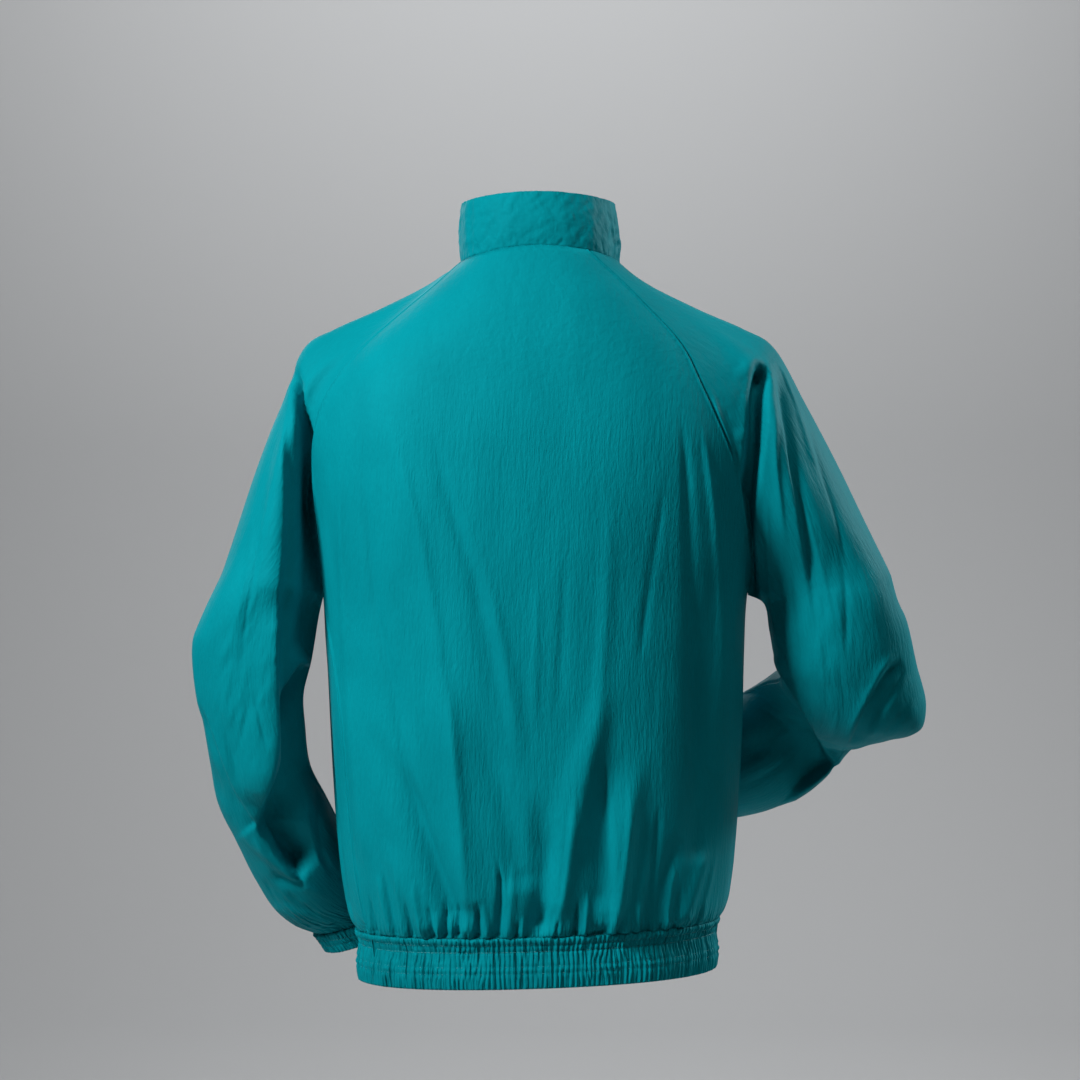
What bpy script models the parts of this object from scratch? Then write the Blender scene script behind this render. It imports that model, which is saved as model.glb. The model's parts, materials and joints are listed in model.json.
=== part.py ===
"""Raglan windbreaker jacket, held open and posed as when it is worn.

Every cloth piece is a wall whose outer face lies on one continuous form: body rings from the hem to
the neckline, and on each side a sleeve that opens into a cap between the two raglan seams. Tables are
in millimetres and degrees. Angles run from the centre back (0) over the wearer's left side (+90) to
the centre front (180). +Z is up, the front faces -Y, and the origin is the middle of the neckline.
"""
import math

import bmesh
import bpy
import numpy as np
from mathutils import Matrix

NAME = "raglan_windbreaker"
CUTTERS = "cutters"
MM = 0.001

# Driving sizes, in millimetres
CLOTH = 1.2            # wall of the panels and sleeves
BAND_CLOTH = 2.2       # hem band and cuffs: cloth folded over elastic
COLLAR_CLOTH = 1.6
TAPE = 1.0             # zip tape
SEAM_GAP = 0.3         # between neighbouring pieces
NECK_GAP = 0.5
UNDERARM_DROP = 0.008  # place of the sleeve's highest closed ring, just below the body's side seam
HEM = -640.0           # height of the seam between body and hem band, at the sides
HEM_END = -688.0
UNDERARM = -323.0      # height where the sleeve leaves the body
NECK = -2.0            # height of the neckline, at the sides
HEM_TILT = 0.034       # the hem is carried higher on the wearer's right, mm per mm
TILT_FROM = -440.0     # height from which the tilt grows, over TILT_OVER
TILT_OVER = 210.0
ROUND_OFF = -165.0     # height below which the sleeve cap rounds into a tube
CORNERS = 0.035        # how far the body rings swell towards a rounded square
CREASE = 0.35          # how sharply a sleeve ring comes to its seam at the underarm, 0 to 1
RIPPLE = 0.75          # height of the ruched ripples on hem band and cuffs
HEM_RIPPLES = 100      # ripples all round the hem band
CUFF_RIPPLES = 30      # ripples round each cuff
FRONT_EDGE = 5.0       # from the centre front to each front's edge
CHAIN_HALF = 2.7       # half the width of the closed zip chain
CHAIN_OUT = 0.4        # how far the chain stands out past the cloth
CHAIN_DEEP = 2.2       # how far it reaches in
CHAIN_END_STEP = 0.02  # least step on the collar's height between its last two rows
TAPE_EDGE = 15.0       # from the centre front to the outer edge of a zip tape
COLLAR_FRONT = 62.0    # length of the collar's end at the centre front
COLLAR_MIDDLE = 2.0    # the collar's top edge: its middle, half width and depths
COLLAR_HALF = 74.5
COLLAR_TOP_BACK = 66.0
COLLAR_TOP_FRONT = 70.0
COLLAR_SIDE = 53.0     # height of its top edge at the sides, how much higher it is at the back and
COLLAR_RISE = 6.0      # how much lower at the front
COLLAR_DROP = 31.0
COLLAR_FULL = 2.0      # how far it swells between seam and top edge
SLIDER_AT = 0.78       # place of the slider's lower end on the collar's height
SLIDER_LONG = 11.0
SLIDER_HALF = 4.2      # half its width, and its two faces from the cloth's outer face
SLIDER_BACK = -1.4
SLIDER_FACE = 1.5
ARCH_HALF = 0.9        # the slider's arch: half width, lower and upper foot, height and bar
ARCH_LOW = 1.5
ARCH_HIGH = 7.5
ARCH_OUT = 5.4
ARCH_BAR = 1.2
SINK = 0.3             # how far the arch is let into the slider
PULL_LONG = 24.0
PULL_HALF = 3.6
PULL_THICK = 1.4
PULL_HOLE_HALF = 1.7
PULL_HOLE_LONG = 4.2
PULL_OUT = 2.85        # from the cloth's face to the pull tab's hinge line
PULL_UP = 4.2          # from the slider's lower end to the hinge line

# Grid of the pieces: rows and columns of quads
BODY_ROWS = 13         # hem to underarm
YOKE_ROWS = 12         # underarm to neckline
BACK_COLUMNS = 34
FRONT_COLUMNS = 15
SLEEVE_ROWS = 15       # cuff to underarm
SLEEVE_COLUMNS = 22
COLLAR_ROWS = 3
COLLAR_COLUMNS = 32
BAND_ROWS = 2
CUFF_ROWS = 1
FLAT_FROM = -200.0     # height from which the shoulder lies flat, over FLAT_OVER
FLAT_OVER = 60.0
YOKE_CROWD = 1.35      # how much closer the rows lie towards the flat shoulder
SEAM_TURN = 0.0012     # a sleeve's edge on the raglan seam, and CUFF_LEVEL its end at the cuff
CUFF_LEVEL = 0.0008

# Steps for measuring slopes: on the body in mm and degrees, on a sleeve, on the collar and in degrees
BODY_STEP = (1.0, 0.5)
SLEEVE_STEP = 0.004
COLLAR_STEP = (0.02, 0.5)


def rows(names, *lines):
    """Table: a row for each line, its columns read by name."""
    return [dict(zip(names.split(), line)) for line in lines]


def column(table, name):
    return np.array([row[name] for row in table], float)


# Body rings. half: half width, mid: middle, back and front: depths, rise and drop: how far the ring is
# higher at the centre back and lower at the centre front, left and right: angle of the seam that ends
# the back panel, a side seam below the underarm and a raglan seam above it.
BODY = rows(
    "z half mid back front rise drop left right",
    (-690, 172, 2.5, 130, 124, 0, 0, 60, -87),
    (-670, 174, 2.5, 132, 126, 0, 0, 60, -87),
    (-650, 172, 2.5, 131, 125, 0, 0, 60, -87),
    (-640, 177, 2.5, 135, 128, 0, 0, 60.3, -87),
    (-625, 183, 2.5, 139, 132, 0, 0, 60.5, -87),
    (-600, 188, 3, 143, 135, 0, 0, 61, -87),
    (-560, 192.5, 3.5, 146, 137, 0, 0, 62, -87.5),
    (-500, 197, 4, 148, 138, 0, 0, 63, -88),
    (-440, 200, 4.5, 149, 139, 0, 0, 64.5, -89),
    (-380, 202, 5, 149, 140, 0, 0, 70, -90),
    (-323, 205, 5, 148, 140, 0, 0, 80, -90),
    (-265, 212, 4, 147, 138, 1, 4, 79, -70),
    (-210, 221, 3, 144, 135, 2, 9, 75, -57),
    (-165, 225, 2, 138, 130, 3, 15, 69, -48),
    (-128, 217, 1, 129, 123, 5, 22, 64.6, -43.5),
    (-86, 183, 0, 116, 114, 8, 30, 64, -44),
    (-52, 140, 0, 101, 103, 10, 36, 66, -43.5),
    (-24, 104, 0, 87, 91, 10, 38, 68, -42),
    (-2, 77, 0, 74, 79, 12, 38, 75, -36),
)

# Sleeve caps between the raglan seams. front: angle of the front raglan seam, lx ly lz and rx ry rz:
# the crest of the left and of the right sleeve, lfull and rfull: how far the cap swells front and back.
CAP = rows(
    "z front lx ly lz lfull rx ry rz rfull",
    (-323, 90, 307, 0, -300, 60, 340, 0, -303, 58),
    (-265, 104, 291, 0, -250, 44, 312, 0, -246, 46),
    (-210, 118, 272, 0, -195, 28, 285, 0, -190, 34),
    (-165, 128, 249, 0, -138, 14, 257, 0, -137, 20),
    (-128, 133, 229, 0, -86, 4, 229, 0, -86, 8),
    (-86, 135, 196, 0, -65, 0, 196, 0, -65, 0),
    (-52, 134, 152, 0, -46, 0, 152, 0, -46, 0),
    (-24, 132, 104, 0, -22, 0, 104, 0, -22, 0),
    (-2, 130, 77, 0, -3, 0, 77, 0, -3, 0),
)

# Sleeve rings below the underarm. ux uy uz: point on the underarm line, cx cy cz: point on the crest
# line, full: half depth from front to back. The last 2 rings are the cuff.
LEFT_SLEEVE = rows(
    "ux uy uz cx cy cz full",
    (214, 10, -345, 328, 9, -350, 58),
    (221, 8, -386, 334, 9, -378, 57),
    (229, 4, -420, 332, 7, -415, 56),
    (228, -4, -452, 326, 1, -450, 55),
    (224, -22, -492, 321, -12, -488, 54),
    (207, -46, -530, 315, -28, -527, 53),
    (193, -70, -562, 298, -48, -568, 51),
    (181, -90, -592, 281, -66, -607, 48),
    (172, -104, -619, 259, -82, -642, 42),
    (168, -108, -632, 243, -88, -655, 38),
    (163, -110, -641, 226, -93, -663, 32),
    (158, -113, -650, 219, -95, -672, 31),
    (152, -116, -659, 212, -97, -682, 31),
)
RIGHT_SLEEVE = rows(
    "ux uy uz cx cy cz full",
    (-216, 5, -331, -346, 0, -326, 57),
    (-222, 2, -357, -355, -4, -345, 56),
    (-228, -8, -386, -366, -14, -388, 55),
    (-234, -24, -402, -375, -30, -428, 54),
    (-235, -48, -408, -368, -56, -447, 49),
    (-225, -78, -412, -330, -90, -462, 43),
    (-204, -110, -424, -270, -126, -523, 52),
    (-168, -148, -446, -206, -166, -550, 52),
    (-135, -180, -470, -156, -192, -556, 44),
    (-122, -192, -481, -138, -203, -553, 37),
    (-114, -198, -488, -129, -208, -550, 32),
    (-106, -203, -492, -121, -213, -550, 30),
    (-98, -208, -494, -113, -219, -552, 30),
)
CUFF_RINGS = 2

# Folds of the body: a ridge where size is above 0, a trough where it is below, running through three
# heights and angles, wide degrees to either side. Those past 90 degrees are on the front.
BODY_FOLDS = rows(
    "top at_top mid at_mid low at_low size wide",
    (-430, 50, -515, 37, -612, 23.5, -7, 4.5),
    (-380, 26, -490, 21.7, -600, 18, 5, 4),
    (-400, 18, -490, 10, -580, 4.5, -6, 4.5),
    (-500, -1, -575, -2.3, -630, -0.5, -9, 3.6),
    (-380, -22, -490, -11.5, -605, -5, 6, 4),
    (-460, -21, -530, -17.5, -600, -18.5, -5, 3.6),
    (-450, -30, -560, -23.5, -630, -20, 5, 3.6),
    (-540, -42, -580, -39, -630, -36.7, -4, 3.2),
    (-270, -47, -400, -49, -560, -50, -5, 6),
    (-540, -56, -590, -51, -630, -47, 4, 3.4),
    (-545, 44, -590, 39, -630, 34, 4, 3.4),
    (-350, 86, -470, 83, -610, 80, -4, 5),
    (-420, 108, -530, 114, -625, 121, -6, 5),
    (-380, 130, -500, 133, -620, 138, 5, 4.6),
    (-460, 150, -550, 147, -625, 145, -6, 4.2),
    (-520, 164, -580, 160, -630, 158, 4, 3.4),
    (-440, -106, -540, -112, -625, -118, -6, 5),
    (-360, -126, -490, -130, -620, -136, 5, 4.6),
    (-480, -146, -560, -150, -628, -152, -6, 4.2),
    (-540, -163, -590, -161, -630, -160, 3.5, 3.4),
)

# Folds of the sleeves, in sleeve places: level -1 at the neckline, 0 at the underarm, 1 at the cuff's
# end; turn 0 at the front seam or the underarm line, 0.25 in front, 0.5 on the crest, 0.75 behind.
LEFT_FOLDS = rows(
    "from_level from_turn mid_level mid_turn to_level to_turn size wide",
    (-0.85, 0.90, -0.30, 0.77, 0.05, 0.785, 4, 0.05),
    (-0.55, 0.68, -0.10, 0.69, 0.20, 0.68, -3, 0.05),
    (0.16, 0.87, 0.36, 0.86, 0.52, 0.82, 5, 0.035),
    (0.18, 0.935, 0.36, 0.93, 0.52, 0.89, -8, 0.035),
    (0.52, 0.70, 0.66, 0.78, 0.82, 0.87, -7, 0.035),
    (0.54, 0.62, 0.68, 0.70, 0.84, 0.78, 4, 0.04),
    (0.10, 0.56, 0.28, 0.57, 0.48, 0.60, 3, 0.035),
    (0.30, 0.34, 0.42, 0.22, 0.50, 0.10, -7, 0.04),
    (0.46, 0.36, 0.58, 0.24, 0.66, 0.12, -5, 0.035),
    (-0.40, 0.30, 0.00, 0.24, 0.30, 0.20, -4, 0.05),
)
RIGHT_FOLDS = rows(
    "from_level from_turn mid_level mid_turn to_level to_turn size wide",
    (-0.85, 0.80, -0.65, 0.78, -0.30, 0.82, 4, 0.045),
    (-0.60, 0.70, -0.20, 0.72, 0.15, 0.74, -3, 0.05),
    (0.14, 0.53, 0.26, 0.62, 0.40, 0.74, -6, 0.04),
    (0.22, 0.50, 0.34, 0.56, 0.46, 0.64, 4, 0.04),
    (0.46, 0.74, 0.60, 0.80, 0.78, 0.78, -5, 0.04),
    (0.52, 0.40, 0.66, 0.44, 0.82, 0.42, -5, 0.045),
    (0.14, 0.34, 0.24, 0.24, 0.32, 0.12, -6, 0.04),
    (-0.40, 0.30, 0.00, 0.24, 0.12, 0.22, -4, 0.05),
)

# Colours from the cloth: base colour, roughness, metallic
CLOTH_FINISH = ((0.010, 0.225, 0.245), 0.55, 0.0)
TAPE_FINISH = ((0.008, 0.190, 0.205), 0.80, 0.0)
CHAIN_FINISH = ((0.008, 0.150, 0.165), 0.40, 0.0)
METAL_FINISH = ((0.60, 0.61, 0.62), 0.30, 1.0)


def smooth(knots, values, at):
    """Cubic through (knots, values), its slope at a knot the weighted mean of the chords beside it."""
    knots = np.asarray(knots, float)
    values = np.asarray(values, float)
    at = np.asarray(at, float)
    step = np.diff(knots)
    wide = step if values.ndim == 1 else step[:, None]
    chord = np.diff(values, axis=0) / wide
    slope = np.empty_like(values)
    slope[1:-1] = (chord[:-1] * wide[1:] + chord[1:] * wide[:-1]) / (wide[1:] + wide[:-1])
    slope[0], slope[-1] = chord[0], chord[-1]
    i = np.clip(np.searchsorted(knots, at, side="right") - 1, 0, len(step) - 1)
    h = step[i]
    t = (at - knots[i]) / h
    if values.ndim > 1:
        h, t = h[..., None], t[..., None]
    start = (2 * t ** 3 - 3 * t ** 2 + 1) * values[i] + (t ** 3 - 2 * t ** 2 + t) * h * slope[i]
    end = (3 * t ** 2 - 2 * t ** 3) * values[i + 1] + (t ** 3 - t ** 2) * h * slope[i + 1]
    return start + end


def ease(t):
    """0 below 0, 1 above 1, and a soft step between."""
    t = np.clip(t, 0.0, 1.0)
    return t * t * (3 - 2 * t)


def unit(v):
    return v / np.linalg.norm(v, axis=-1)[..., None]


def half_width(z):
    return smooth(column(BODY, "z"), column(BODY, "half"), z)


def body_ring(z, angle):
    """Point of the body at side height z: (half sin a, depth cos a) swollen by 1 + CORNERS sin(2a)^2."""
    z, angle = np.broadcast_arrays(np.asarray(z, float), np.radians(np.asarray(angle, float)))
    knots = column(BODY, "z")

    def size(name):
        return smooth(knots, column(BODY, name), z)

    s, c = np.sin(angle), np.cos(angle)
    swell = 1 + CORNERS * np.sin(2 * angle) ** 2
    depth = np.where(c > 0, size("back"), size("front"))
    lift = np.where(c > 0, size("rise"), -size("drop")) * c * c
    x = size("mid") + size("half") * s * swell
    tilt = HEM_TILT * np.clip((TILT_FROM - z) / TILT_OVER, 0, 1)
    return np.stack([x, depth * c * swell, z + lift - tilt * x], -1)


def back_seam(z, side):
    """Angle where the back panel ends, on the side +1 (wearer's left) or -1."""
    return smooth(column(BODY, "z"), column(BODY, "left" if side > 0 else "right"), z)


def front_seam(z, side):
    """Angle where the front panel begins: the side seam, and above the underarm the front raglan seam."""
    z = np.asarray(z, float)
    raglan = side * smooth(column(CAP, "z"), column(CAP, "front"), np.maximum(z, UNDERARM))
    at_underarm = back_seam(UNDERARM, side) - side * CAP[0]["front"]
    raglan = raglan + at_underarm * np.clip((CAP[1]["z"] - z) / (CAP[1]["z"] - UNDERARM), 0, 1)
    return np.where(z < UNDERARM, back_seam(z, side), raglan)


def front_edge(z, side, away):
    """Angle at which a point of the front is away mm from the centre front."""
    return side * (180 - np.degrees(np.arcsin(away / half_width(z))))


def across(turn, crease):
    """Way from the underarm line (0) to the crest line (1): sin(pi turn)^2, steeper at a creased seam."""
    return (np.sin(np.pi * turn) ** 2) ** (1 - CREASE * crease)


def cap_ring(z, turn, side):
    """Sleeve cap at body height z: the body's ring between the raglan seams, drawn out to the crest."""
    z, turn = np.broadcast_arrays(np.asarray(z, float), np.asarray(turn, float))
    front, back = front_seam(z, side), back_seam(z, side)
    base = body_ring(z, front + (back - front) * turn)
    knots = column(CAP, "z")
    tag = "l" if side > 0 else "r"

    def size(name):
        return smooth(knots, column(CAP, tag + name), z)

    crest = np.stack([side * size("x"), size("y"), size("z")], -1)
    out = (crest - body_ring(z, (front + back) / 2)) * ease((NECK - z) / 15)[..., None]
    round_off = np.clip((ROUND_OFF - z) / (ROUND_OFF - UNDERARM), 0, 1)
    swell = across(turn, round_off)
    wave = np.sin(2 * np.pi * turn)
    sway = np.zeros(z.shape + (3,))
    sway[..., 1] = -size("full") * wave * np.abs(wave) ** (1 - round_off)
    return base + swell[..., None] * out + sway


def sleeve_lines(side):
    """The sleeve's underarm line, crest line, half depth and place of each ring along it, 0 to 1."""
    table = LEFT_SLEEVE if side > 0 else RIGHT_SLEEVE
    under = np.array([cap_ring(UNDERARM, 0.0, side)] + [[r["ux"], r["uy"], r["uz"]] for r in table])
    crest = np.array([cap_ring(UNDERARM, 0.5, side)] + [[r["cx"], r["cy"], r["cz"]] for r in table])
    first = CAP[0]["lfull" if side > 0 else "rfull"]
    full = np.array([first] + [r["full"] for r in table], float)
    step = np.linalg.norm(np.diff((under + crest) / 2, axis=0), axis=1)
    place = np.concatenate([[0.0], np.cumsum(step)])
    return under, crest, full, place / place[-1]


def sleeve_ring(level, turn, side):
    """Sleeve below the underarm: an ellipse between the underarm line and the crest line."""
    under, crest, full, place = sleeve_lines(side)
    fine = np.linspace(0, 1, 241)
    low, high = smooth(place, under, fine), smooth(place, crest, fine)
    along = np.gradient((low + high) / 2, axis=0)
    behind = unit(side * np.cross(high - low, along))
    start = ease(fine / 0.12)[:, None]
    behind = unit(behind * start + (1 - start) * np.array([0.0, 1.0, 0.0]))
    level, turn = np.broadcast_arrays(np.asarray(level, float), np.asarray(turn, float))

    def read(line):
        return np.stack([np.interp(level, fine, line[:, i]) for i in range(3)], -1)

    low, high, behind = read(low), read(high), read(behind)
    depth = (smooth(place, full, level) * np.sin(2 * np.pi * turn))[..., None]
    return low + (high - low) * across(turn, ease(1 - level / 0.2))[..., None] - depth * behind


def cuff_start(side):
    return sleeve_lines(side)[3][-1 - CUFF_RINGS]


def sleeve_base(level, turn, side):
    """Cap above level 0, sleeve below it."""
    level, turn = np.broadcast_arrays(np.asarray(level, float), np.asarray(turn, float))
    z = UNDERARM + np.maximum(-level, 0) * (NECK - UNDERARM)
    cap = cap_ring(z, turn, side)
    tube = sleeve_ring(np.clip(level, 0, 1), turn, side)
    return np.where((level < 0)[..., None], cap, tube)


def body_folds(z, angle):
    """Height of the folds: sum of size e^(-(off the fold's line / wide)^2), faded at its ends."""
    total = np.zeros(np.broadcast(z, angle).shape)
    for fold in BODY_FOLDS:
        knots = [fold["low"], fold["mid"], fold["top"]]
        line = smooth(knots, [fold["at_low"], fold["at_mid"], fold["at_top"]], np.clip(z, knots[0], knots[2]))
        fade = ease((fold["top"] - z) / (0.45 * (fold["top"] - fold["low"])))
        fade = fade * ease((z - fold["low"] + 20) / 20)
        total = total + fold["size"] * fade * np.exp(-((angle - line) / fold["wide"]) ** 2)
    return total * ease((z - HEM) / 14)


def sleeve_folds(level, turn, side):
    """As body_folds, on a sleeve's level and turn; none at its seams."""
    total = np.zeros(np.broadcast(level, turn).shape)
    for fold in LEFT_FOLDS if side > 0 else RIGHT_FOLDS:
        knots = [fold["from_level"], fold["mid_level"], fold["to_level"]]
        turns = [fold["from_turn"], fold["mid_turn"], fold["to_turn"]]
        line = smooth(knots, turns, np.clip(level, knots[0], knots[2]))
        reach = knots[2] - knots[0]
        fade = ease((level - knots[0]) / (0.4 * reach)) * ease((knots[2] - level) / (0.3 * reach))
        total = total + fold["size"] * fade * np.exp(-((turn - line) / fold["wide"]) ** 2)
    seam = ease(np.minimum(turn, 1 - turn) / 0.07)
    return total * seam * ease((cuff_start(side) - level) / 0.05)


def normal(surface, u, v, du, dv):
    """Outward normal of surface(u, v), from points beside each point."""
    across = surface(u + du, v) - surface(u - du, v)
    along = surface(u, v + dv) - surface(u, v - dv)
    return unit(np.cross(across, along))


def body_face(z, angle):
    """Outer face of the body's cloth."""
    z, angle = np.broadcast_arrays(np.asarray(z, float), np.asarray(angle, float))
    out = normal(body_ring, z, angle, *BODY_STEP)
    return body_ring(z, angle) + out * body_folds(z, angle)[..., None]


def sleeve_face(level, turn, side):
    """Outer face of a sleeve's cloth."""
    level, turn = np.broadcast_arrays(np.asarray(level, float), np.asarray(turn, float))

    def base(a, b):
        return sleeve_base(a, b, side)

    out = normal(base, level, turn, SLEEVE_STEP, SLEEVE_STEP * side)
    return base(level, turn) + out * sleeve_folds(level, turn, side)[..., None]


def collar_face(height, angle):
    """Collar: from the neckline (height 0) to its top edge (1), a little full in the middle."""
    height, angle = np.broadcast_arrays(np.asarray(height, float), np.asarray(angle, float))
    low = body_ring(NECK, angle)
    a = np.radians(angle)
    c, s = np.cos(a), np.sin(a)
    top_z = COLLAR_SIDE + np.where(c > 0, COLLAR_RISE, -COLLAR_DROP) * c * c
    depth = np.where(c > 0, COLLAR_TOP_BACK, COLLAR_TOP_FRONT)
    top = np.stack([COLLAR_MIDDLE + COLLAR_HALF * s, depth * c, top_z], -1)
    full = COLLAR_FULL * np.sin(np.pi * height)[..., None] * np.stack([s, c, 0 * s], -1)
    return low + (top - low) * height[..., None] + full


def front_line(level, away, side):
    """Point and outward normal on the front, away mm from its middle. A level up to the neckline is a
    height on the body, and one from 0 to 1 is a height on the collar."""
    level = np.asarray(level, float)
    z, top = np.minimum(level, NECK), np.clip(level, 0, 1)
    on_body = (level <= NECK)[..., None]
    angle = front_edge(z, side, away)
    point = np.where(on_body, body_face(z, angle), collar_face(top, angle))
    out_body = normal(body_face, z, angle, *BODY_STEP)
    return point, np.where(on_body, out_body, normal(collar_face, top, angle, *COLLAR_STEP))


def material(name, finish):
    """Principled material of a base colour, roughness and metallic value."""
    colour, roughness, metallic = finish
    made = bpy.data.materials.new(name)
    made.use_nodes = True
    shader = made.node_tree.nodes["Principled BSDF"]
    shader.inputs["Base Color"].default_value = (*colour, 1.0)
    shader.inputs["Roughness"].default_value = roughness
    shader.inputs["Metallic"].default_value = metallic
    made.diffuse_color = (*colour, 1.0)
    return made


def add_object(name, mesh, finish):
    """Object in the part's collection, shaded smooth, with a material of its own."""
    mesh.materials.append(material(name + "_finish", finish))
    mesh.shade_smooth()
    mesh.set_sharp_from_angle(angle=math.radians(40))
    made = bpy.data.objects.new(name, mesh)
    bpy.data.collections[NAME].objects.link(made)
    return made


def add_wall(name, outer, inner, finish, closed_rows=()):
    """Closed wall between two grids of points in millimetres. In closed_rows the last column is the
    first one again, so that those rows are rings."""
    count, width = outer.shape[:2]
    number = np.arange(count * width).reshape(count, width)
    for row in closed_rows:
        number[row, -1] = number[row, 0]
    front, back = number, number + count * width
    faces = []

    def strip(a, b, c, d):
        faces.extend(np.stack([a.ravel(), b.ravel(), c.ravel(), d.ravel()], -1).tolist())

    strip(front[:-1, :-1], front[:-1, 1:], front[1:, 1:], front[1:, :-1])
    strip(back[:-1, :-1], back[1:, :-1], back[1:, 1:], back[:-1, 1:])
    strip(front[0, :-1], back[0, :-1], back[0, 1:], front[0, 1:])
    strip(front[-1, :-1], front[-1, 1:], back[-1, 1:], back[-1, :-1])
    for row in range(count - 1):
        if row in closed_rows and row + 1 in closed_rows:
            continue
        strip(front[row, 0], front[row + 1, 0], back[row + 1, 0], back[row, 0])
        strip(front[row, -1], back[row, -1], back[row + 1, -1], front[row + 1, -1])
    mesh = bpy.data.meshes.new(name)
    points = np.concatenate([outer.reshape(-1, 3), inner.reshape(-1, 3)]) * MM
    mesh.from_pydata(points.tolist(), [], faces)
    shell = bmesh.new()
    shell.from_mesh(mesh)
    loose = [v for v in shell.verts if not v.link_faces]
    bmesh.ops.delete(shell, geom=loose, context="VERTS")
    bmesh.ops.recalc_face_normals(shell, faces=shell.faces)
    shell.to_mesh(mesh)
    shell.free()
    return add_object(name, mesh, finish)


def yoke_levels():
    """Heights of the rows above the underarm, closer together towards the flat shoulder."""
    t = np.linspace(0, 1, YOKE_ROWS + 1)
    return UNDERARM + (NECK - UNDERARM) * (1 - (1 - t) ** YOKE_CROWD)


def body_levels():
    low = np.linspace(HEM + SEAM_GAP / 2, UNDERARM, BODY_ROWS + 1)
    return np.concatenate([low, yoke_levels()[1:]])


def band_levels():
    return np.linspace(HEM_END, HEM - SEAM_GAP / 2, BAND_ROWS + 1)


def collar_levels():
    return np.linspace(NECK_GAP / COLLAR_SIDE, 1, COLLAR_ROWS + 1)


def seam_normals(own, z, side, turn):
    """Normals on a raglan seam. On the flat shoulder they are the mean of the body's and the cap's, so
    that the two walls don't cross, and in the creased armpit they stay the piece's own."""
    angle = back_seam(z, side) if turn > 0.5 else front_seam(z, side)
    level = (UNDERARM - z) / (NECK - UNDERARM)
    on_body = normal(body_face, z, angle, *BODY_STEP)
    inside = np.clip(turn, 5 * SLEEVE_STEP, 1 - 5 * SLEEVE_STEP)
    step = SLEEVE_STEP
    on_sleeve = normal(lambda a, b: sleeve_face(a, b, side), level, inside, step, step * side)
    flat = ease((z - FLAT_FROM) / FLAT_OVER)[:, None]
    return unit(own * (1 - flat) + unit(on_body + on_sleeve) * flat)


def add_body_panels():
    """Back and the two fronts, from the hem band to the neckline."""
    z = body_levels()
    yoke = z >= UNDERARM
    gap = np.degrees(SEAM_GAP / half_width(z))
    back = (back_seam(z, -1) + gap, back_seam(z, 1) - gap)
    left = (front_seam(z, 1) + gap, front_edge(z, 1, FRONT_EDGE))
    right = (front_edge(z, -1, FRONT_EDGE) + 360, front_seam(z, -1) + 360 - gap)
    panels = (
        ("back", *back, BACK_COLUMNS, (-1, 1, 1)),
        ("front_left", *left, FRONT_COLUMNS, (1, 0, 0)),
        ("front_right", *right, FRONT_COLUMNS, (0, -1, 0)),
    )
    for name, first, last, columns, (first_side, last_side, turn) in panels:
        share = np.linspace(0, 1, columns + 1)[None, :]
        angle = first[:, None] + (last - first)[:, None] * share
        angle = np.where(angle > 180, angle - 360, angle)
        outer = body_face(z[:, None], angle)
        out = normal(body_face, z[:, None], angle, *BODY_STEP)
        if first_side:
            out[yoke, 0] = seam_normals(out[yoke, 0], z[yoke], first_side, turn)
        if last_side:
            out[yoke, -1] = seam_normals(out[yoke, -1], z[yoke], last_side, turn)
        add_wall(name, outer, outer - out * CLOTH, CLOTH_FINISH)


def add_sleeve(side):
    """Sleeve from the cuff to the neckline: rings up to the underarm, then open between the seams."""
    name = "sleeve_left" if side > 0 else "sleeve_right"
    tube = np.linspace(cuff_start(side) - CUFF_LEVEL, 0.0, SLEEVE_ROWS + 1)
    tube[-1] = UNDERARM_DROP
    level = np.concatenate([tube, (UNDERARM - yoke_levels()[1:]) / (NECK - UNDERARM)])
    closed = range(SLEEVE_ROWS + 1)
    trim = np.where(level < 0, SEAM_TURN, 0.0)[:, None]
    turn = trim + (1 - 2 * trim) * np.linspace(0, 1, SLEEVE_COLUMNS + 1)[None, :]

    def face(a, b):
        return sleeve_face(a, b, side)

    level = level[:, None]
    outer = face(level, turn)
    step = SLEEVE_STEP
    out = normal(face, level, np.clip(turn, 1.5 * step, 1 - 1.5 * step), step, step * side)
    rings, caps = level[:SLEEVE_ROWS + 1], slice(SLEEVE_ROWS + 1, None)
    ring = normal(face, rings, np.array([[step]]), step, step * side)
    ring = unit(ring + normal(face, rings, np.array([[1 - step]]), step, step * side))
    out[:SLEEVE_ROWS + 1, 0] = out[:SLEEVE_ROWS + 1, -1] = ring[:, 0]
    z = yoke_levels()[1:]
    out[caps, 0] = seam_normals(out[caps, 0], z, side, 0.0)
    out[caps, -1] = seam_normals(out[caps, -1], z, side, 1.0)
    add_wall(name, outer, outer - out * CLOTH, CLOTH_FINISH, closed)


def add_cuff(side):
    """Elastic tube at the end of a sleeve, ruched in ripples on its outer face."""
    start = cuff_start(side)
    level = np.linspace(start + CUFF_LEVEL, 1.0, CUFF_ROWS + 1)[:, None]
    turn = np.linspace(0, 1, 2 * CUFF_RIPPLES + 1)[None, :]

    def base(a, b):
        return sleeve_ring(a, b, side)

    point = base(level, turn)
    inside = np.clip(level, start, 1 - SLEEVE_STEP)
    out = normal(base, inside, turn, SLEEVE_STEP, SLEEVE_STEP * side)
    ripple = RIPPLE * np.cos(2 * np.pi * CUFF_RIPPLES * turn)[..., None]
    name = "cuff_left" if side > 0 else "cuff_right"
    add_wall(name, point + out * ripple, point - out * BAND_CLOTH, CLOTH_FINISH, range(CUFF_ROWS + 1))


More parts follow.
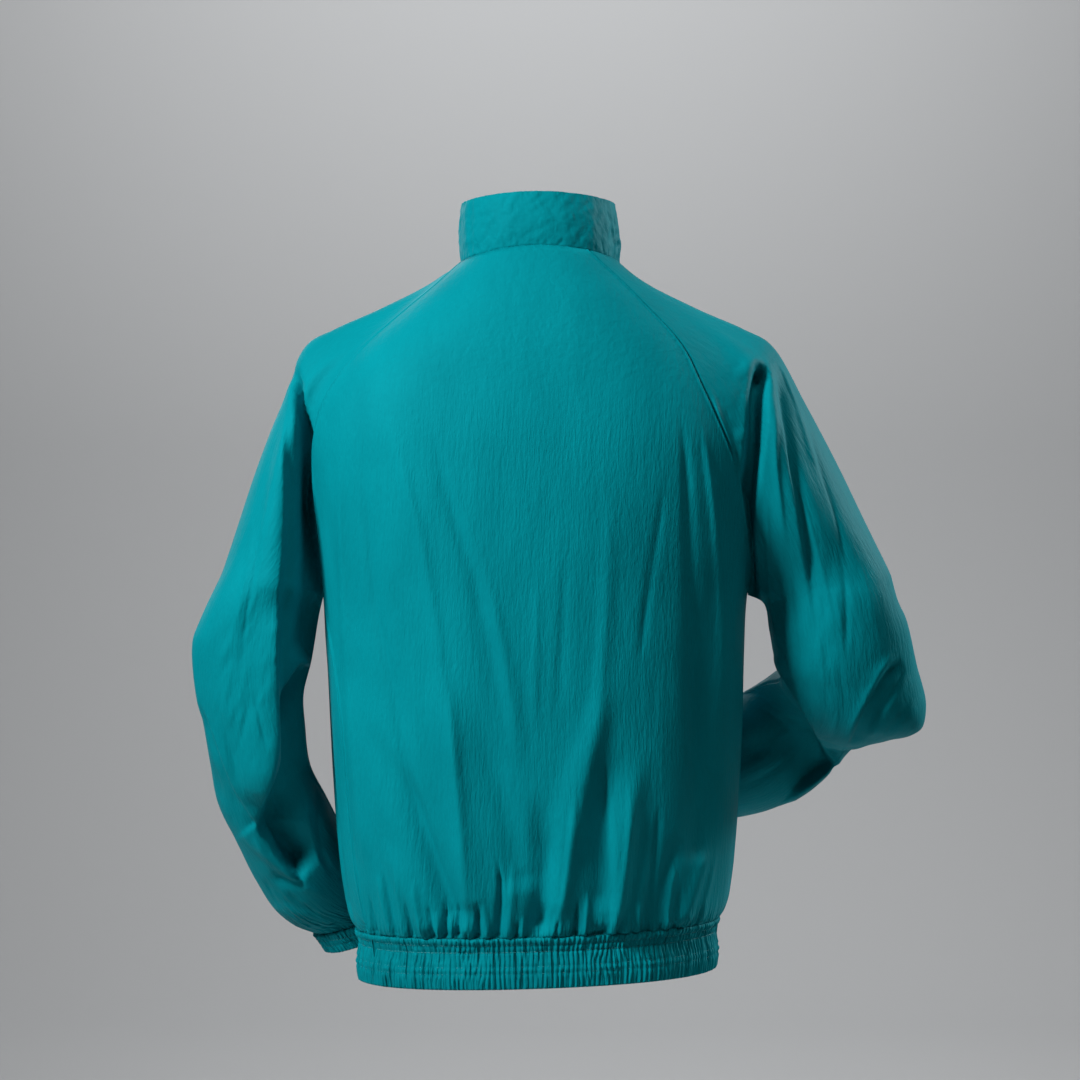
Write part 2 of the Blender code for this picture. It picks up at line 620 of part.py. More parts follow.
def add_hem_band():
    """Elastic hem band in three pieces between the side seams and the front edges, ruched."""
    z = band_levels()
    gap = float(np.degrees(SEAM_GAP / 2 / half_width(HEM)))
    left, right = back_seam(HEM, 1), back_seam(HEM, -1) + 360
    edge = float(front_edge(HEM, 1, FRONT_EDGE))
    pieces = (
        ("hem_band_back", right - 360 + gap, left - gap),
        ("hem_band_left", left + gap, edge),
        ("hem_band_right", 360 - edge, right - gap),
    )
    for name, first, last in pieces:
        ripples = round(HEM_RIPPLES * (last - first) / 360)
        share = np.linspace(0, 1, 2 * ripples + 1)[None, :]
        angle = first + (last - first) * share
        angle = np.where(angle > 180, angle - 360, angle)
        point = body_ring(z[:, None], angle)
        out = normal(body_ring, z[:, None], angle, *BODY_STEP)
        ripple = RIPPLE * np.cos(2 * np.pi * ripples * share)[..., None]
        add_wall(name, point + out * ripple, point - out * BAND_CLOTH, CLOTH_FINISH)


def add_collar():
    """Stand collar, its ends at the centre front."""
    height = collar_levels()[:, None]
    edge = float(front_edge(NECK, 1, FRONT_EDGE))
    angle = np.linspace(-edge, edge, COLLAR_COLUMNS + 1)[None, :]
    outer = collar_face(height, angle)
    out = normal(collar_face, height, angle, *COLLAR_STEP)
    add_wall("collar", outer, outer - out * COLLAR_CLOTH, CLOTH_FINISH)


def add_strip(name, sides, levels, outer, inner, finish):
    """Strip up the front. sides: its two edges as (side, distance from the middle), outer and inner:
    how far its two faces stand off the cloth's outer face, at each level."""
    lines = [front_line(levels, away, side) for side, away in sides]
    faces = []
    for off in (outer, inner):
        off = np.broadcast_to(off, levels.shape)[:, None]
        faces.append(np.stack([point + out * off for point, out in lines], 1))
    add_wall(name, faces[0], faces[1], finish)


def add_tapes_and_chain():
    """Closed zip: a tape behind each front's edge and the chain of teeth between the tapes."""
    levels = np.concatenate([band_levels(), body_levels()[1:], collar_levels()])
    wall = np.where(levels < HEM, BAND_CLOTH, np.where(levels > NECK, COLLAR_CLOTH, CLOTH))
    behind = -wall - SEAM_GAP
    near = CHAIN_HALF + SEAM_GAP
    for name, side in (("zip_tape_left", 1), ("zip_tape_right", -1)):
        edges = ((side, near), (side, TAPE_EDGE))
        add_strip(name, edges, levels, behind, behind - TAPE, TAPE_FINISH)
    under_slider = SLIDER_AT - SEAM_GAP / COLLAR_FRONT
    levels = np.append(levels[levels < under_slider - CHAIN_END_STEP], under_slider)
    edges = ((1, CHAIN_HALF), (-1, CHAIN_HALF))
    add_strip("zip_chain", edges, levels, CHAIN_OUT, -CHAIN_DEEP, CHAIN_FINISH)


def add_box(name, corner, opposite, parent, cutter=False):
    """Box between two corners in its parent's millimetres, its origin at its parent's."""
    bpy.ops.mesh.primitive_cube_add(size=1)
    box = bpy.context.object
    middle = [(a + b) / 2 * MM for a, b in zip(corner, opposite)]
    size = [abs(b - a) * MM for a, b in zip(corner, opposite)]
    box.data.transform(Matrix.Translation(middle) @ Matrix.Diagonal((*size, 1.0)))
    box.name = box.data.name = name
    for collection in list(box.users_collection):
        collection.objects.unlink(box)
    bpy.data.collections[CUTTERS if cutter else NAME].objects.link(box)
    box.parent = parent
    if cutter:
        box.hide_render = True
        box.display_type = "WIRE"
    return box


def combine(target, other, operation):
    made = target.modifiers.new(operation.lower(), "BOOLEAN")
    made.operation = operation
    made.object = other
    made.solver = "EXACT"


def soften(target, width):
    made = target.modifiers.new("edges", "BEVEL")
    made.width = width * MM
    made.segments = 1
    made.limit_method = "ANGLE"


def add_slider_and_pull():
    """Slider on the collar, and its pull tab, whose top bar hangs in the slider's arch."""
    point, out = front_line(np.array([SLIDER_AT]), 0.0, 1)
    beside = np.array([SLIDER_AT - COLLAR_STEP[0], SLIDER_AT + COLLAR_STEP[0]])
    ends, _ = front_line(beside, 0.0, 1)
    up = unit(ends[1] - ends[0])
    out = unit(out[0] - up * (out[0] @ up))
    place = bpy.data.objects.new("zip_slider_place", None)
    bpy.data.collections[NAME].objects.link(place)
    axes = Matrix((np.cross(out, up), out, up)).transposed().to_4x4()
    place.matrix_world = Matrix.Translation(point[0] * MM) @ axes

    low, high, foot = ARCH_LOW, ARCH_HIGH, SLIDER_FACE - SINK
    slider_corner = (-SLIDER_HALF, SLIDER_BACK, 0)
    slider = add_box("zip_slider", slider_corner, (SLIDER_HALF, SLIDER_FACE, SLIDER_LONG), place)
    soften(slider, 0.5)
    arch_corner = (-ARCH_HALF, foot, low)
    arch = add_box("slider_arch", arch_corner, (ARCH_HALF, ARCH_OUT, high), place, cutter=True)
    opening_corner = (-2 * ARCH_HALF, foot - SINK, low + ARCH_BAR)
    opening_opposite = (2 * ARCH_HALF, ARCH_OUT - ARCH_BAR, high - ARCH_BAR)
    opening = add_box("slider_arch_opening", opening_corner, opening_opposite, place, cutter=True)
    seat = add_box("slider_arch_seat", arch_corner, (ARCH_HALF, SLIDER_FACE, high), place, cutter=True)
    combine(arch, opening, "DIFFERENCE")
    combine(arch, seat, "UNION")
    combine(slider, arch, "UNION")
    slider.data.materials.append(material("zip_slider_finish", METAL_FINISH))

    hinge = bpy.data.objects.new("zip_pull_hinge", None)
    bpy.data.collections[NAME].objects.link(hinge)
    hinge.parent = place
    hinge.location = (0, PULL_OUT * MM, PULL_UP * MM)
    bar = PULL_THICK / 2
    pull_corner = (-PULL_HALF, -bar, bar - PULL_LONG)
    pull = add_box("zip_pull", pull_corner, (PULL_HALF, bar, bar), hinge)
    hole_corner = (-PULL_HOLE_HALF, -2 * PULL_THICK, -bar - PULL_HOLE_LONG)
    hole_opposite = (PULL_HOLE_HALF, 2 * PULL_THICK, -bar)
    hole = add_box("pull_hole", hole_corner, hole_opposite, hinge, cutter=True)
    combine(pull, hole, "DIFFERENCE")
    soften(pull, 0.25)
    pull.data.materials.append(material("zip_pull_finish", METAL_FINISH))


def main():
    for old in list(bpy.data.objects):
        bpy.data.objects.remove(old, do_unlink=True)
    for name in (NAME, CUTTERS):
        bpy.context.scene.collection.children.link(bpy.data.collections.new(name))
    add_body_panels()
    for side in (1, -1):
        add_sleeve(side)
        add_cuff(side)
    add_hem_band()
    add_collar()
    add_tapes_and_chain()
    add_slider_and_pull()


main()
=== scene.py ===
# %% [markdown]
# # A raglan windbreaker, drawn from its cut
#
# This lesson finishes a hip-length windbreaker of crinkled nylon that is held open as when it is worn.
# The solids of the garment are already there, as stiff walls with their true sizes. Here each panel
# gets the surface that the eye expects: the drape and the gathers over the elastic, the fine crinkle
# of the cloth, pressed seams, stitch rows and a real zip. Sculpting by hand would work too, but every
# shape here is a formula of two parameters, because a formula can be read, repeated and changed.

import json

import bpy
import numpy as np
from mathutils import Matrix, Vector

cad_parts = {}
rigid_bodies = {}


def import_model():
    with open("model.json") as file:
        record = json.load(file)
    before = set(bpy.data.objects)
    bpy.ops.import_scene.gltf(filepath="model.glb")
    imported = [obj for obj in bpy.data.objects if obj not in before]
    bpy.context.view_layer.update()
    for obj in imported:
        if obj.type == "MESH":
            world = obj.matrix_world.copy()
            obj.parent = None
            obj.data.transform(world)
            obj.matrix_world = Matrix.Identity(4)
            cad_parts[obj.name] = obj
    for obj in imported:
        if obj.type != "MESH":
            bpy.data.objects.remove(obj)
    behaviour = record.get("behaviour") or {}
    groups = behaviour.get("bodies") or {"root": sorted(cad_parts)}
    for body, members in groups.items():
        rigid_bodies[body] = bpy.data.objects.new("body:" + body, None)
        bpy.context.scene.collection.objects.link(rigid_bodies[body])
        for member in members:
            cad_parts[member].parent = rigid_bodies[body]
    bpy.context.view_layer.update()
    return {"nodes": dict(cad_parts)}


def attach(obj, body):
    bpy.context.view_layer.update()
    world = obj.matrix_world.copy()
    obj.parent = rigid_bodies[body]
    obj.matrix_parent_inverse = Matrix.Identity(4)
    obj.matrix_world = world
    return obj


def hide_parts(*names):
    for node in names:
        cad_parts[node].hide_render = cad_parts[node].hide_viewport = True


for old in list(bpy.data.objects):
    bpy.data.objects.remove(old, do_unlink=True)
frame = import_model()

# %% [markdown]
# ## Where the camera stands
#
# The jacket is seen squarely from behind, at the height of its middle. A long lens from 3.2 m keeps
# the sides of the hem as parallel as they look, so the camera comes first and everything after it can
# be compared with the view.

# %% Camera
CAMERA_AWAY = 3.2         # from the garment's middle plane, in metres
CAMERA_HEIGHT = -0.270    # of the lens above the neckline, in metres
FRAME_WIDE = 1.0476       # width of the picture at the garment's middle plane
SENSOR = 36.0             # in millimetres
SEES_TO = 50              # in metres

camera_data = bpy.data.cameras.new("camera")
camera_data.sensor_width = SENSOR
camera_data.lens = SENSOR * CAMERA_AWAY / FRAME_WIDE
camera_data.clip_end = SEES_TO
camera = bpy.data.objects.new("camera", camera_data)
bpy.context.collection.objects.link(camera)
camera.location = (0.0, CAMERA_AWAY, CAMERA_HEIGHT)
camera.rotation_euler = Vector((0, -1, 0)).to_track_quat("-Z", "Y").to_euler()
bpy.context.scene.camera = camera
print("lens in mm:", round(camera_data.lens, 1))

# %% [markdown]
# ## Light and ground
#
# The key light stands high at the left of the picture, so that the drape reads as one broad change from
# light to dark and every fold has a lit and a shaded side. A weaker rim light from the right and one from
# above draw the edges, and one at the front reaches the side that the camera doesn't see. The backdrop
# light falls on the ground alone. A lit sky would be quicker, but it fills every hollow and flattens the
# cloth, so it is kept very weak.

# %% Lights
LIGHTS = (      # name, place, aim and width in metres, power in watts, spread of the beam in degrees
    ("key", (2.15, 1.8, 1.5), (0.18, 0, -0.28), 0.8, 15.5, 60),
    ("front", (1.2, -2.8, 0.9), (0, 0, -0.3), 1.6, 6, 90),
    ("rim", (-2.5, -1.15, 0.85), (-0.25, 0, -0.25), 0.8, 6.5, 60),
    ("top", (-0.9, 1.5, 2.6), (-0.1, 0, -0.1), 1.2, 3.8, 70),
    ("backdrop", (0.0, -2.4, 1.9), (0, -5, -0.4), 2.2, 72, 180),
)
SKY_COLOUR, SKY_STRENGTH = (0.78, 0.80, 0.83, 1), 0.015


def soft_light(name, place, aim, width, power, spread):
    """Square area light at a place, turned to aim."""
    data = bpy.data.lights.new(name, "AREA")
    data.size = width
    data.energy = power
    data.spread = np.radians(spread)
    lamp = bpy.data.objects.new(name, data)
    bpy.context.collection.objects.link(lamp)
    lamp.location = place
    lamp.rotation_euler = (Vector(aim) - Vector(place)).to_track_quat("-Z", "Y").to_euler()


for light in LIGHTS:
    soft_light(*light)

world = bpy.data.worlds.new("studio")
world.use_nodes = True
world.node_tree.nodes["Background"].inputs["Color"].default_value = SKY_COLOUR
world.node_tree.nodes["Background"].inputs["Strength"].default_value = SKY_STRENGTH
bpy.context.scene.world = world
bpy.context.scene.view_settings.view_transform = "Standard"
print("lights:", ", ".join(light[0] for light in LIGHTS))

# %% [markdown]
# The ground is a pale sweep: a floor that rises behind the garment in one quarter round, so no horizon
# line crosses the view. A plane and a wall would also do, but their corner shows.

# %% The sweep
FLOOR_HEIGHT, FLOOR_FROM = -1.25, 6.0       # in metres, as all of the sweep
SWEEP_BACK, SWEEP_ROUND, SWEEP_STEPS = -3.4, 1.2, 16
WALL_HIGH, SWEEP_HALF_WIDE = 6.0, 9.0
PAPER, PAPER_ROUGHNESS = (0.55, 0.56, 0.57, 1), 0.9


def sweep_profile():
    """Floor from behind the camera to the back, then a quarter circle of SWEEP_ROUND, then a wall."""
    turn = np.linspace(0, np.pi / 2, SWEEP_STEPS)
    y = np.concatenate([[FLOOR_FROM], SWEEP_BACK - SWEEP_ROUND * np.sin(turn), [SWEEP_BACK - SWEEP_ROUND]])
    z = np.concatenate([[0.0], SWEEP_ROUND * (1 - np.cos(turn)), [WALL_HIGH]]) + FLOOR_HEIGHT
    return y, z


sweep_y, sweep_z = sweep_profile()
sweep_points = [(x, y, z) for y, z in zip(sweep_y, sweep_z) for x in (-SWEEP_HALF_WIDE, SWEEP_HALF_WIDE)]
sweep_faces = [(2 * i, 2 * i + 1, 2 * i + 3, 2 * i + 2) for i in range(len(sweep_y) - 1)]
sweep_mesh = bpy.data.meshes.new("sweep")
sweep_mesh.from_pydata(sweep_points, [], sweep_faces)
sweep_mesh.shade_smooth()
sweep = bpy.data.objects.new("sweep", sweep_mesh)
bpy.context.collection.objects.link(sweep)
sweep_material = bpy.data.materials.new("sweep_paper")
sweep_material.use_nodes = True
sweep_shader = sweep_material.node_tree.nodes["Principled BSDF"]
sweep_shader.inputs["Base Color"].default_value = PAPER
sweep_shader.inputs["Roughness"].default_value = PAPER_ROUGHNESS
sweep_mesh.materials.append(sweep_material)
print("sweep:", len(sweep_faces), "faces")

# %% [markdown]
# ## A small language for materials
#
# Shader nodes do arithmetic one box at a time, which is hard to read. The class below wraps an output
# socket, so that an expression such as `1 - mask * 0.3` adds the Math nodes by itself. Any other node
# comes from `node`, which sets a node's own settings first and then its sockets.

# %% The socket class
class Value:
    """An output socket of a material, with arithmetic."""

    def __init__(self, tree, socket):
        self.tree = tree
        self.socket = socket

    def node(self, kind, settings=None, inputs=None, output=0):
        """Any node: its type, its own settings, then numbers or links for its sockets."""
        made = self.tree.nodes.new(kind)
        for name, setting in (settings or {}).items():
            if name == "stops":
                fill_ramp(made.color_ramp, setting)
            else:
                setattr(made, name, setting)
        for name, given in (inputs or {}).items():
            if isinstance(given, Value):
                self.tree.links.new(given.socket, made.inputs[name])
            else:
                made.inputs[name].default_value = given
        return Value(self.tree, made.outputs[output])

    def math(self, operation, *numbers, clamp=False):
        inputs = dict(enumerate(numbers))
        return self.node("ShaderNodeMath", {"operation": operation, "use_clamp": clamp}, inputs)

    def __add__(self, other):
        return self.math("ADD", self, other)

    def __radd__(self, other):
        return self.math("ADD", other, self)

    def __sub__(self, other):
        return self.math("SUBTRACT", self, other)

    def __rsub__(self, other):
        return self.math("SUBTRACT", other, self)

    def __mul__(self, other):
        return self.math("MULTIPLY", self, other)

    def __rmul__(self, other):
        return self.math("MULTIPLY", other, self)

    def __truediv__(self, other):
        return self.math("DIVIDE", self, other)

    def __pow__(self, other):
        return self.math("POWER", self, other)

    def clamped(self):
        """The same number kept between 0 and 1."""
        return self.math("ADD", self, 0.0, clamp=True)


def fill_ramp(ramp, stops):
    """Set a colour ramp from (place, colour) pairs."""
    while len(ramp.elements) > 1:
        ramp.elements.remove(ramp.elements[-1])
    ramp.elements[0].position, ramp.elements[0].color = stops[0][0], (*stops[0][1], 1)
    for place, colour in stops[1:]:
        ramp.elements.new(place).color = (*colour, 1)


def begin_material(name, roughness, metallic=0.0, **constants):
    """Material with its Principled shader; constants are set on the shader's own sockets."""
    made = bpy.data.materials.new(name)
    made.use_nodes = True
    shader = made.node_tree.nodes["Principled BSDF"]
    shader.inputs["Roughness"].default_value = roughness
    shader.inputs["Metallic"].default_value = metallic
    for socket, number in constants.items():
        shader.inputs[socket.replace("_", " ")].default_value = number
    return made, shader, Value(made.node_tree, None)


def ramp(tone, *stops):
    """Colour between (place, colour) pairs, read where the tone from 0 to 1 stands."""
    return tone.node("ShaderNodeValToRGB", {"stops": stops}, {"Fac": tone})


def feed(shader, socket, value):
    value.tree.links.new(value.socket, shader.inputs[socket])


print("operators of a socket: + - * / and **")

# %% [markdown]
# ## The nylon
#
# The cloth is a thin nylon that was crushed before it was sewn: long shallow crinkles run down every
# panel, two or three millimetres apart, over a weave too fine to see from a step away. They are too
# many to model, so they are bump, drawn on each piece's own UV map, which is laid out in metres with v
# along the cloth. Noise stretched along v gives the crinkles, and a finer noise breaks them up. Up on the
# yoke the cloth is worn smooth and only crumpled, and over the hem band short pleats join the crinkles.

# %% Nylon, and the same cloth on the elastic
NYLON_DARK, NYLON_LIGHT = (0.0006, 0.205, 0.245), (0.0010, 0.275, 0.325)
NYLON_ROUGHNESS = 0.60
TEAL_TINT = (0.05, 0.85, 1.0, 1)
CRINKLE_HIGH = 0.0012                                   # of the bump, in metres
YOKE_FROM, YOKE_OVER = -0.100, 0.075                    # heights where the crinkles fade out, in metres
YOKE_LEAST = 0.20                                       # what is left of them above
PLEATS_FROM, PLEATS_LONG, PLEATS_DEEP = -0.612, 0.028, 4.0
HEM_TILT = 0.034                                        # the hem sinks towards the wearer's left


def stretched_noise(ask, uv, across, along, detail, rough=0.55, twist=0.0):
    """Noise on the UV map with cells of across by along metres."""
    place = ask.node("ShaderNodeMapping", {}, {"Vector": uv, "Scale": (1 / across, 1 / along, 1)})
    inputs = {"Vector": place, "Scale": 1.0, "Detail": detail, "Roughness": rough, "Distortion": twist}
    return ask.node("ShaderNodeTexNoise", {"noise_dimensions": "2D"}, inputs)


def make_nylon(name, crinkle):
    """Crinkled nylon; crinkle: how strong the long crinkles are."""
    made, shader, ask = begin_material(
        name, NYLON_ROUGHNESS, Specular_IOR_Level=0.08, Specular_Tint=TEAL_TINT,
        Sheen_Weight=0.02, Sheen_Roughness=0.4, Sheen_Tint=TEAL_TINT
    )
    uv = ask.node("ShaderNodeUVMap", {"uv_map": "cloth"})
    long_crinkle = stretched_noise(ask, uv, 0.0034, 0.022, 2.0, 0.5, 0.25)
    fine_crinkle = stretched_noise(ask, uv, 0.0016, 0.0075, 2.0, 0.6, 0.2)
    grain = stretched_noise(ask, uv, 0.0008, 0.0010, 1.0)
    broad = stretched_noise(ask, uv, 0.060, 0.140, 2.0)
    crumple = stretched_noise(ask, uv, 0.0075, 0.0090, 2.0, 0.5, 0.3)
    pleats = stretched_noise(ask, uv, 0.0036, 0.050, 1.0, 0.4)
    place = ask.node("ShaderNodeTexCoord", output="Object")
    height_above = ask.node("ShaderNodeSeparateXYZ", {}, {"Vector": place}, "Z")
    to_left = ask.node("ShaderNodeSeparateXYZ", {}, {"Vector": place}, "X")
    crushed = ((YOKE_FROM - height_above) / YOKE_OVER).clamped() * (1 - YOKE_LEAST) + YOKE_LEAST
    pleated = ((PLEATS_FROM - height_above - HEM_TILT * to_left) / PLEATS_LONG).clamped() ** 1.5
    height = (long_crinkle * 0.50 + fine_crinkle * 0.32) * crushed * crinkle + grain * 0.10
    height = height + crumple * 0.55 * (1.15 - crushed) + pleats * pleated * PLEATS_DEEP
    bump = ask.node("ShaderNodeBump", {}, {"Height": height, "Strength": 1.0, "Distance": CRINKLE_HIGH})
    feed(shader, "Normal", bump)
    # Base colour: the broad noise is the cloth's own uneven dye at random, and a little of the fine crinkle
    # noise that also makes the bump paints the crinkles' hollows darker, which is painted shade
    tone = (fine_crinkle * 0.25 + broad * 0.7 + 0.02).clamped()
    feed(shader, "Base Color", ramp(tone, (0.2, NYLON_DARK), (0.8, NYLON_LIGHT)))
    feed(shader, "Roughness", NYLON_ROUGHNESS - 0.05 + grain * 0.1)
    return made


nylon = make_nylon("nylon", 1.0)
ruched_nylon = make_nylon("ruched_nylon", 0.7)
print("cloth:", nylon.name, "and", ruched_nylon.name)

# %% [markdown]
# ## The form of the garment
#
# One continuous form lies under all the pieces. The body is a stack of rings, each a rounded ellipse,
# from the hem to the neckline. Each sleeve is a row of ellipses strung between an underarm line and a
# crest line. Above the underarm it opens into a cap between the two raglan seams, which is the body's
# ring drawn out to the shoulder. The tables are in millimetres and degrees, as a pattern cutter would
# note them; angles run from the centre back over the wearer's left side to the centre front.
#
# A row of the body is a height, the ring's half width and middle, its depth behind and in front, how far
# it rises at the back and drops at the front, and the angles of the back's two seams. A row of the cap
# is a height, the angle of the front seam, and for each side the crest's place and how full the ring is.
# A row of a sleeve is a point of the underarm line, one of the crest line, and how full the ring is.

# %% Table of the body
MM = 0.001
HEM, HEM_END = -640.0, -688.0       # heights of the seam over the hem band and of its fold
UNDERARM, NECK = -323.0, -2.0       # heights of the underarm and of the neckline


def rows(names, *lines):
    """Table: a row for each line, its columns read by name."""
    return [dict(zip(names.split(), line)) for line in lines]


def column(table, name):
    return np.array([row[name] for row in table], float)


BODY = rows(
    "z half mid back front rise drop left right",
    (-690, 172, 2.5, 130, 124, 0, 0, 60, -87),
    (-670, 174, 2.5, 132, 126, 0, 0, 60, -87),
    (-650, 172, 2.5, 131, 125, 0, 0, 60, -87),
    (-640, 177, 2.5, 135, 128, 0, 0, 60.3, -87),
    (-625, 183, 2.5, 139, 132, 0, 0, 60.5, -87),
    (-600, 188, 3, 143, 135, 0, 0, 61, -87),
    (-560, 192.5, 3.5, 146, 137, 0, 0, 62, -87.5),
    (-500, 197, 4, 148, 138, 0, 0, 63, -88),
    (-440, 200, 4.5, 149, 139, 0, 0, 64.5, -89),
    (-380, 202, 5, 149, 140, 0, 0, 70, -90),
    (-323, 205, 5, 148, 140, 0, 0, 80, -90),
    (-265, 212, 4, 147, 138, 1, 4, 79, -70),
    (-210, 221, 3, 144, 135, 2, 9, 75, -57),
    (-165, 225, 2, 138, 130, 3, 15, 69, -48),
    (-128, 217, 1, 129, 123, 5, 22, 64.6, -43.5),
    (-86, 183, 0, 116, 114, 8, 30, 64, -44),
    (-52, 140, 0, 101, 103, 10, 36, 66, -43.5),
    (-24, 104, 0, 87, 91, 10, 38, 68, -42),
    (-2, 77, 0, 74, 79, 12, 38, 75, -36),
)
print("rings of the body:", len(BODY))

# %% Tables of the sleeves
CAP = rows(
    "z front lx ly lz lfull rx ry rz rfull",
    (-323, 90, 307, 0, -300, 60, 340, 0, -303, 58),
    (-265, 104, 291, 0, -250, 44, 312, 0, -246, 46),
    (-210, 118, 272, 0, -195, 28, 285, 0, -190, 34),
    (-165, 128, 249, 0, -138, 14, 257, 0, -137, 20),
    (-128, 133, 229, 0, -86, 4, 229, 0, -86, 8),
    (-86, 135, 196, 0, -65, 0, 196, 0, -65, 0),
    (-52, 134, 152, 0, -46, 0, 152, 0, -46, 0),
    (-24, 132, 104, 0, -22, 0, 104, 0, -22, 0),
    (-2, 130, 77, 0, -3, 0, 77, 0, -3, 0),
)
LEFT_SLEEVE = rows(
    "ux uy uz cx cy cz full",
    (214, 10, -345, 328, 9, -350, 58),
    (221, 8, -386, 334, 9, -378, 57),
    (229, 4, -420, 332, 7, -415, 56),
    (228, -4, -452, 326, 1, -450, 55),
    (224, -22, -492, 321, -12, -488, 54),
    (207, -46, -530, 315, -28, -527, 53),
    (193, -70, -562, 298, -48, -568, 51),
    (181, -90, -592, 281, -66, -607, 48),
    (172, -104, -619, 259, -82, -642, 42),
    (168, -108, -632, 243, -88, -655, 38),
    (163, -110, -641, 226, -93, -663, 32),
    (158, -113, -650, 219, -95, -672, 31),
    (152, -116, -659, 212, -97, -682, 31),
)
RIGHT_SLEEVE = rows(
    "ux uy uz cx cy cz full",
    (-216, 5, -331, -346, 0, -326, 57),
    (-222, 2, -357, -355, -4, -345, 56),
    (-228, -8, -386, -366, -14, -388, 55),
    (-234, -24, -402, -375, -30, -428, 54),
    (-235, -48, -408, -368, -56, -447, 49),
    (-225, -78, -412, -330, -90, -462, 43),
    (-204, -110, -424, -270, -126, -523, 52),
    (-168, -148, -446, -206, -166, -550, 52),
    (-135, -180, -470, -156, -192, -556, 44),
    (-122, -192, -481, -138, -203, -553, 37),
    (-114, -198, -488, -129, -208, -550, 32),
    (-106, -203, -492, -121, -213, -550, 30),
    (-98, -208, -494, -113, -219, -552, 30),
)
CUFF_RINGS = 2      # the last rings, which the cuff covers
print("rings of each sleeve:", len(CAP), "in the cap,", len(LEFT_SLEEVE), "below it")

# %% [markdown]
# A cubic runs through each column of a table, with the slope at a row taken from the chords beside
# it. It never needs handles, passes through every number that was measured, and stays calm between.

# %% Curves through the tables
def smooth(knots, values, at):
    """Cubic through (knots, values), its slope at a knot the weighted mean of the chords beside it."""
    knots = np.asarray(knots, float)
    values = np.asarray(values, float)
    at = np.asarray(at, float)
    step = np.diff(knots)
    wide = step if values.ndim == 1 else step[:, None]
    chord = np.diff(values, axis=0) / wide
    slope = np.empty_like(values)
    slope[1:-1] = (chord[:-1] * wide[1:] + chord[1:] * wide[:-1]) / (wide[1:] + wide[:-1])
    slope[0], slope[-1] = chord[0], chord[-1]
    i = np.clip(np.searchsorted(knots, at, side="right") - 1, 0, len(step) - 1)
    h = step[i]
    t = (at - knots[i]) / h
    if values.ndim > 1:
        h, t = h[..., None], t[..., None]
    start = (2 * t ** 3 - 3 * t ** 2 + 1) * values[i] + (t ** 3 - 2 * t ** 2 + t) * h * slope[i]
    end = (3 * t ** 2 - 2 * t ** 3) * values[i + 1] + (t ** 3 - t ** 2) * h * slope[i + 1]
    return start + end


def ease(t):
    """0 below 0, 1 above 1, and a soft step between."""
    t = np.clip(t, 0.0, 1.0)
    return t * t * (3 - 2 * t)


def unit(v):
    return v / np.linalg.norm(v, axis=-1)[..., None]


def read_line(at, knots, line):
    """Points of a line at places between its knots, on straight pieces."""
    return np.stack([np.interp(at, knots, line[:, i]) for i in range(line.shape[1])], -1)


def of_side(side, left, right):
    return left if side > 0 else right


print("half width of the chest in mm:", float(smooth(column(BODY, "z"), column(BODY, "half"), UNDERARM)))

# %% [markdown]
# A ring of the body is an ellipse, swollen at its four corners as a chest is. Side 1 is the wearer's
# left and side -1 the right, and a seam is the angle at which one panel ends and the next begins.

# %% Body rings and seams
CORNERS = 0.035                     # how much a ring is swollen at its corners
TILT_FROM, TILT_OVER = -440, 210    # from this height down the rings tilt by HEM_TILT
FRONT_EDGE = 5.0                    # from the centre front to the edge of the cloth


def body_ring(z, angle):
    """Point of the body at side height z: (half sin a, depth cos a) swollen by 1 + CORNERS sin(2a)^2."""
    z, angle = np.broadcast_arrays(np.asarray(z, float), np.radians(np.asarray(angle, float)))
    knots = column(BODY, "z")

    def size(name):
        return smooth(knots, column(BODY, name), z)

    s, c = np.sin(angle), np.cos(angle)
    swell = 1 + CORNERS * np.sin(2 * angle) ** 2
    depth = np.where(c > 0, size("back"), size("front"))
    lift = np.where(c > 0, size("rise"), -size("drop")) * c * c
    x = size("mid") + size("half") * s * swell
    tilt = HEM_TILT * np.clip((TILT_FROM - z) / TILT_OVER, 0, 1)
    return np.stack([x, depth * c * swell, z + lift - tilt * x], -1)


def back_seam(z, side):
    """Angle where the back panel ends, on the side +1 (wearer's left) or -1."""
    return smooth(column(BODY, "z"), column(BODY, of_side(side, "left", "right")), z)


def front_seam(z, side):
    """Angle where the front panel begins: the side seam, and above the underarm the front raglan seam."""
    z = np.asarray(z, float)
    raglan = side * smooth(column(CAP, "z"), column(CAP, "front"), np.maximum(z, UNDERARM))
    at_underarm = back_seam(UNDERARM, side) - side * CAP[0]["front"]
    raglan = raglan + at_underarm * np.clip((CAP[1]["z"] - z) / (CAP[1]["z"] - UNDERARM), 0, 1)
    return np.where(z < UNDERARM, back_seam(z, side), raglan)


def half_width(z):
    return smooth(column(BODY, "z"), column(BODY, "half"), z)


def front_edge(z, side, away):
    """Angle at which a point of the front is away mm from the centre front."""
    return side * (180 - np.degrees(np.arcsin(away / half_width(z))))


print("corners of the hem in mm:", np.round(body_ring(HEM, np.array([0, 90, 180, 270])), 0).tolist())

# %% [markdown]
# A place on a sleeve is a level and a turn. The level is 0 at the underarm and 1 at the end of the cuff,
# and above the underarm it runs to -1 at the neckline. The turn runs once round, from the underarm line
# over the front and the crest line, where it is 0.5, and back behind the arm.

# %% Sleeve rings
CREASE = 0.35       # how much steeper a ring runs away from a creased seam
CAP_ROUND = -165    # height from which the cap is as round as the ring of the body
START_ROUND, START_CREASED = 0.12, 0.2      # shares of the sleeve over which it leaves the cap's form


def across(turn, crease):
    """Way from the underarm line (0) to the crest line (1): sin(pi turn)^2, steeper at a creased seam."""
    return (np.sin(np.pi * turn) ** 2) ** (1 - CREASE * crease)


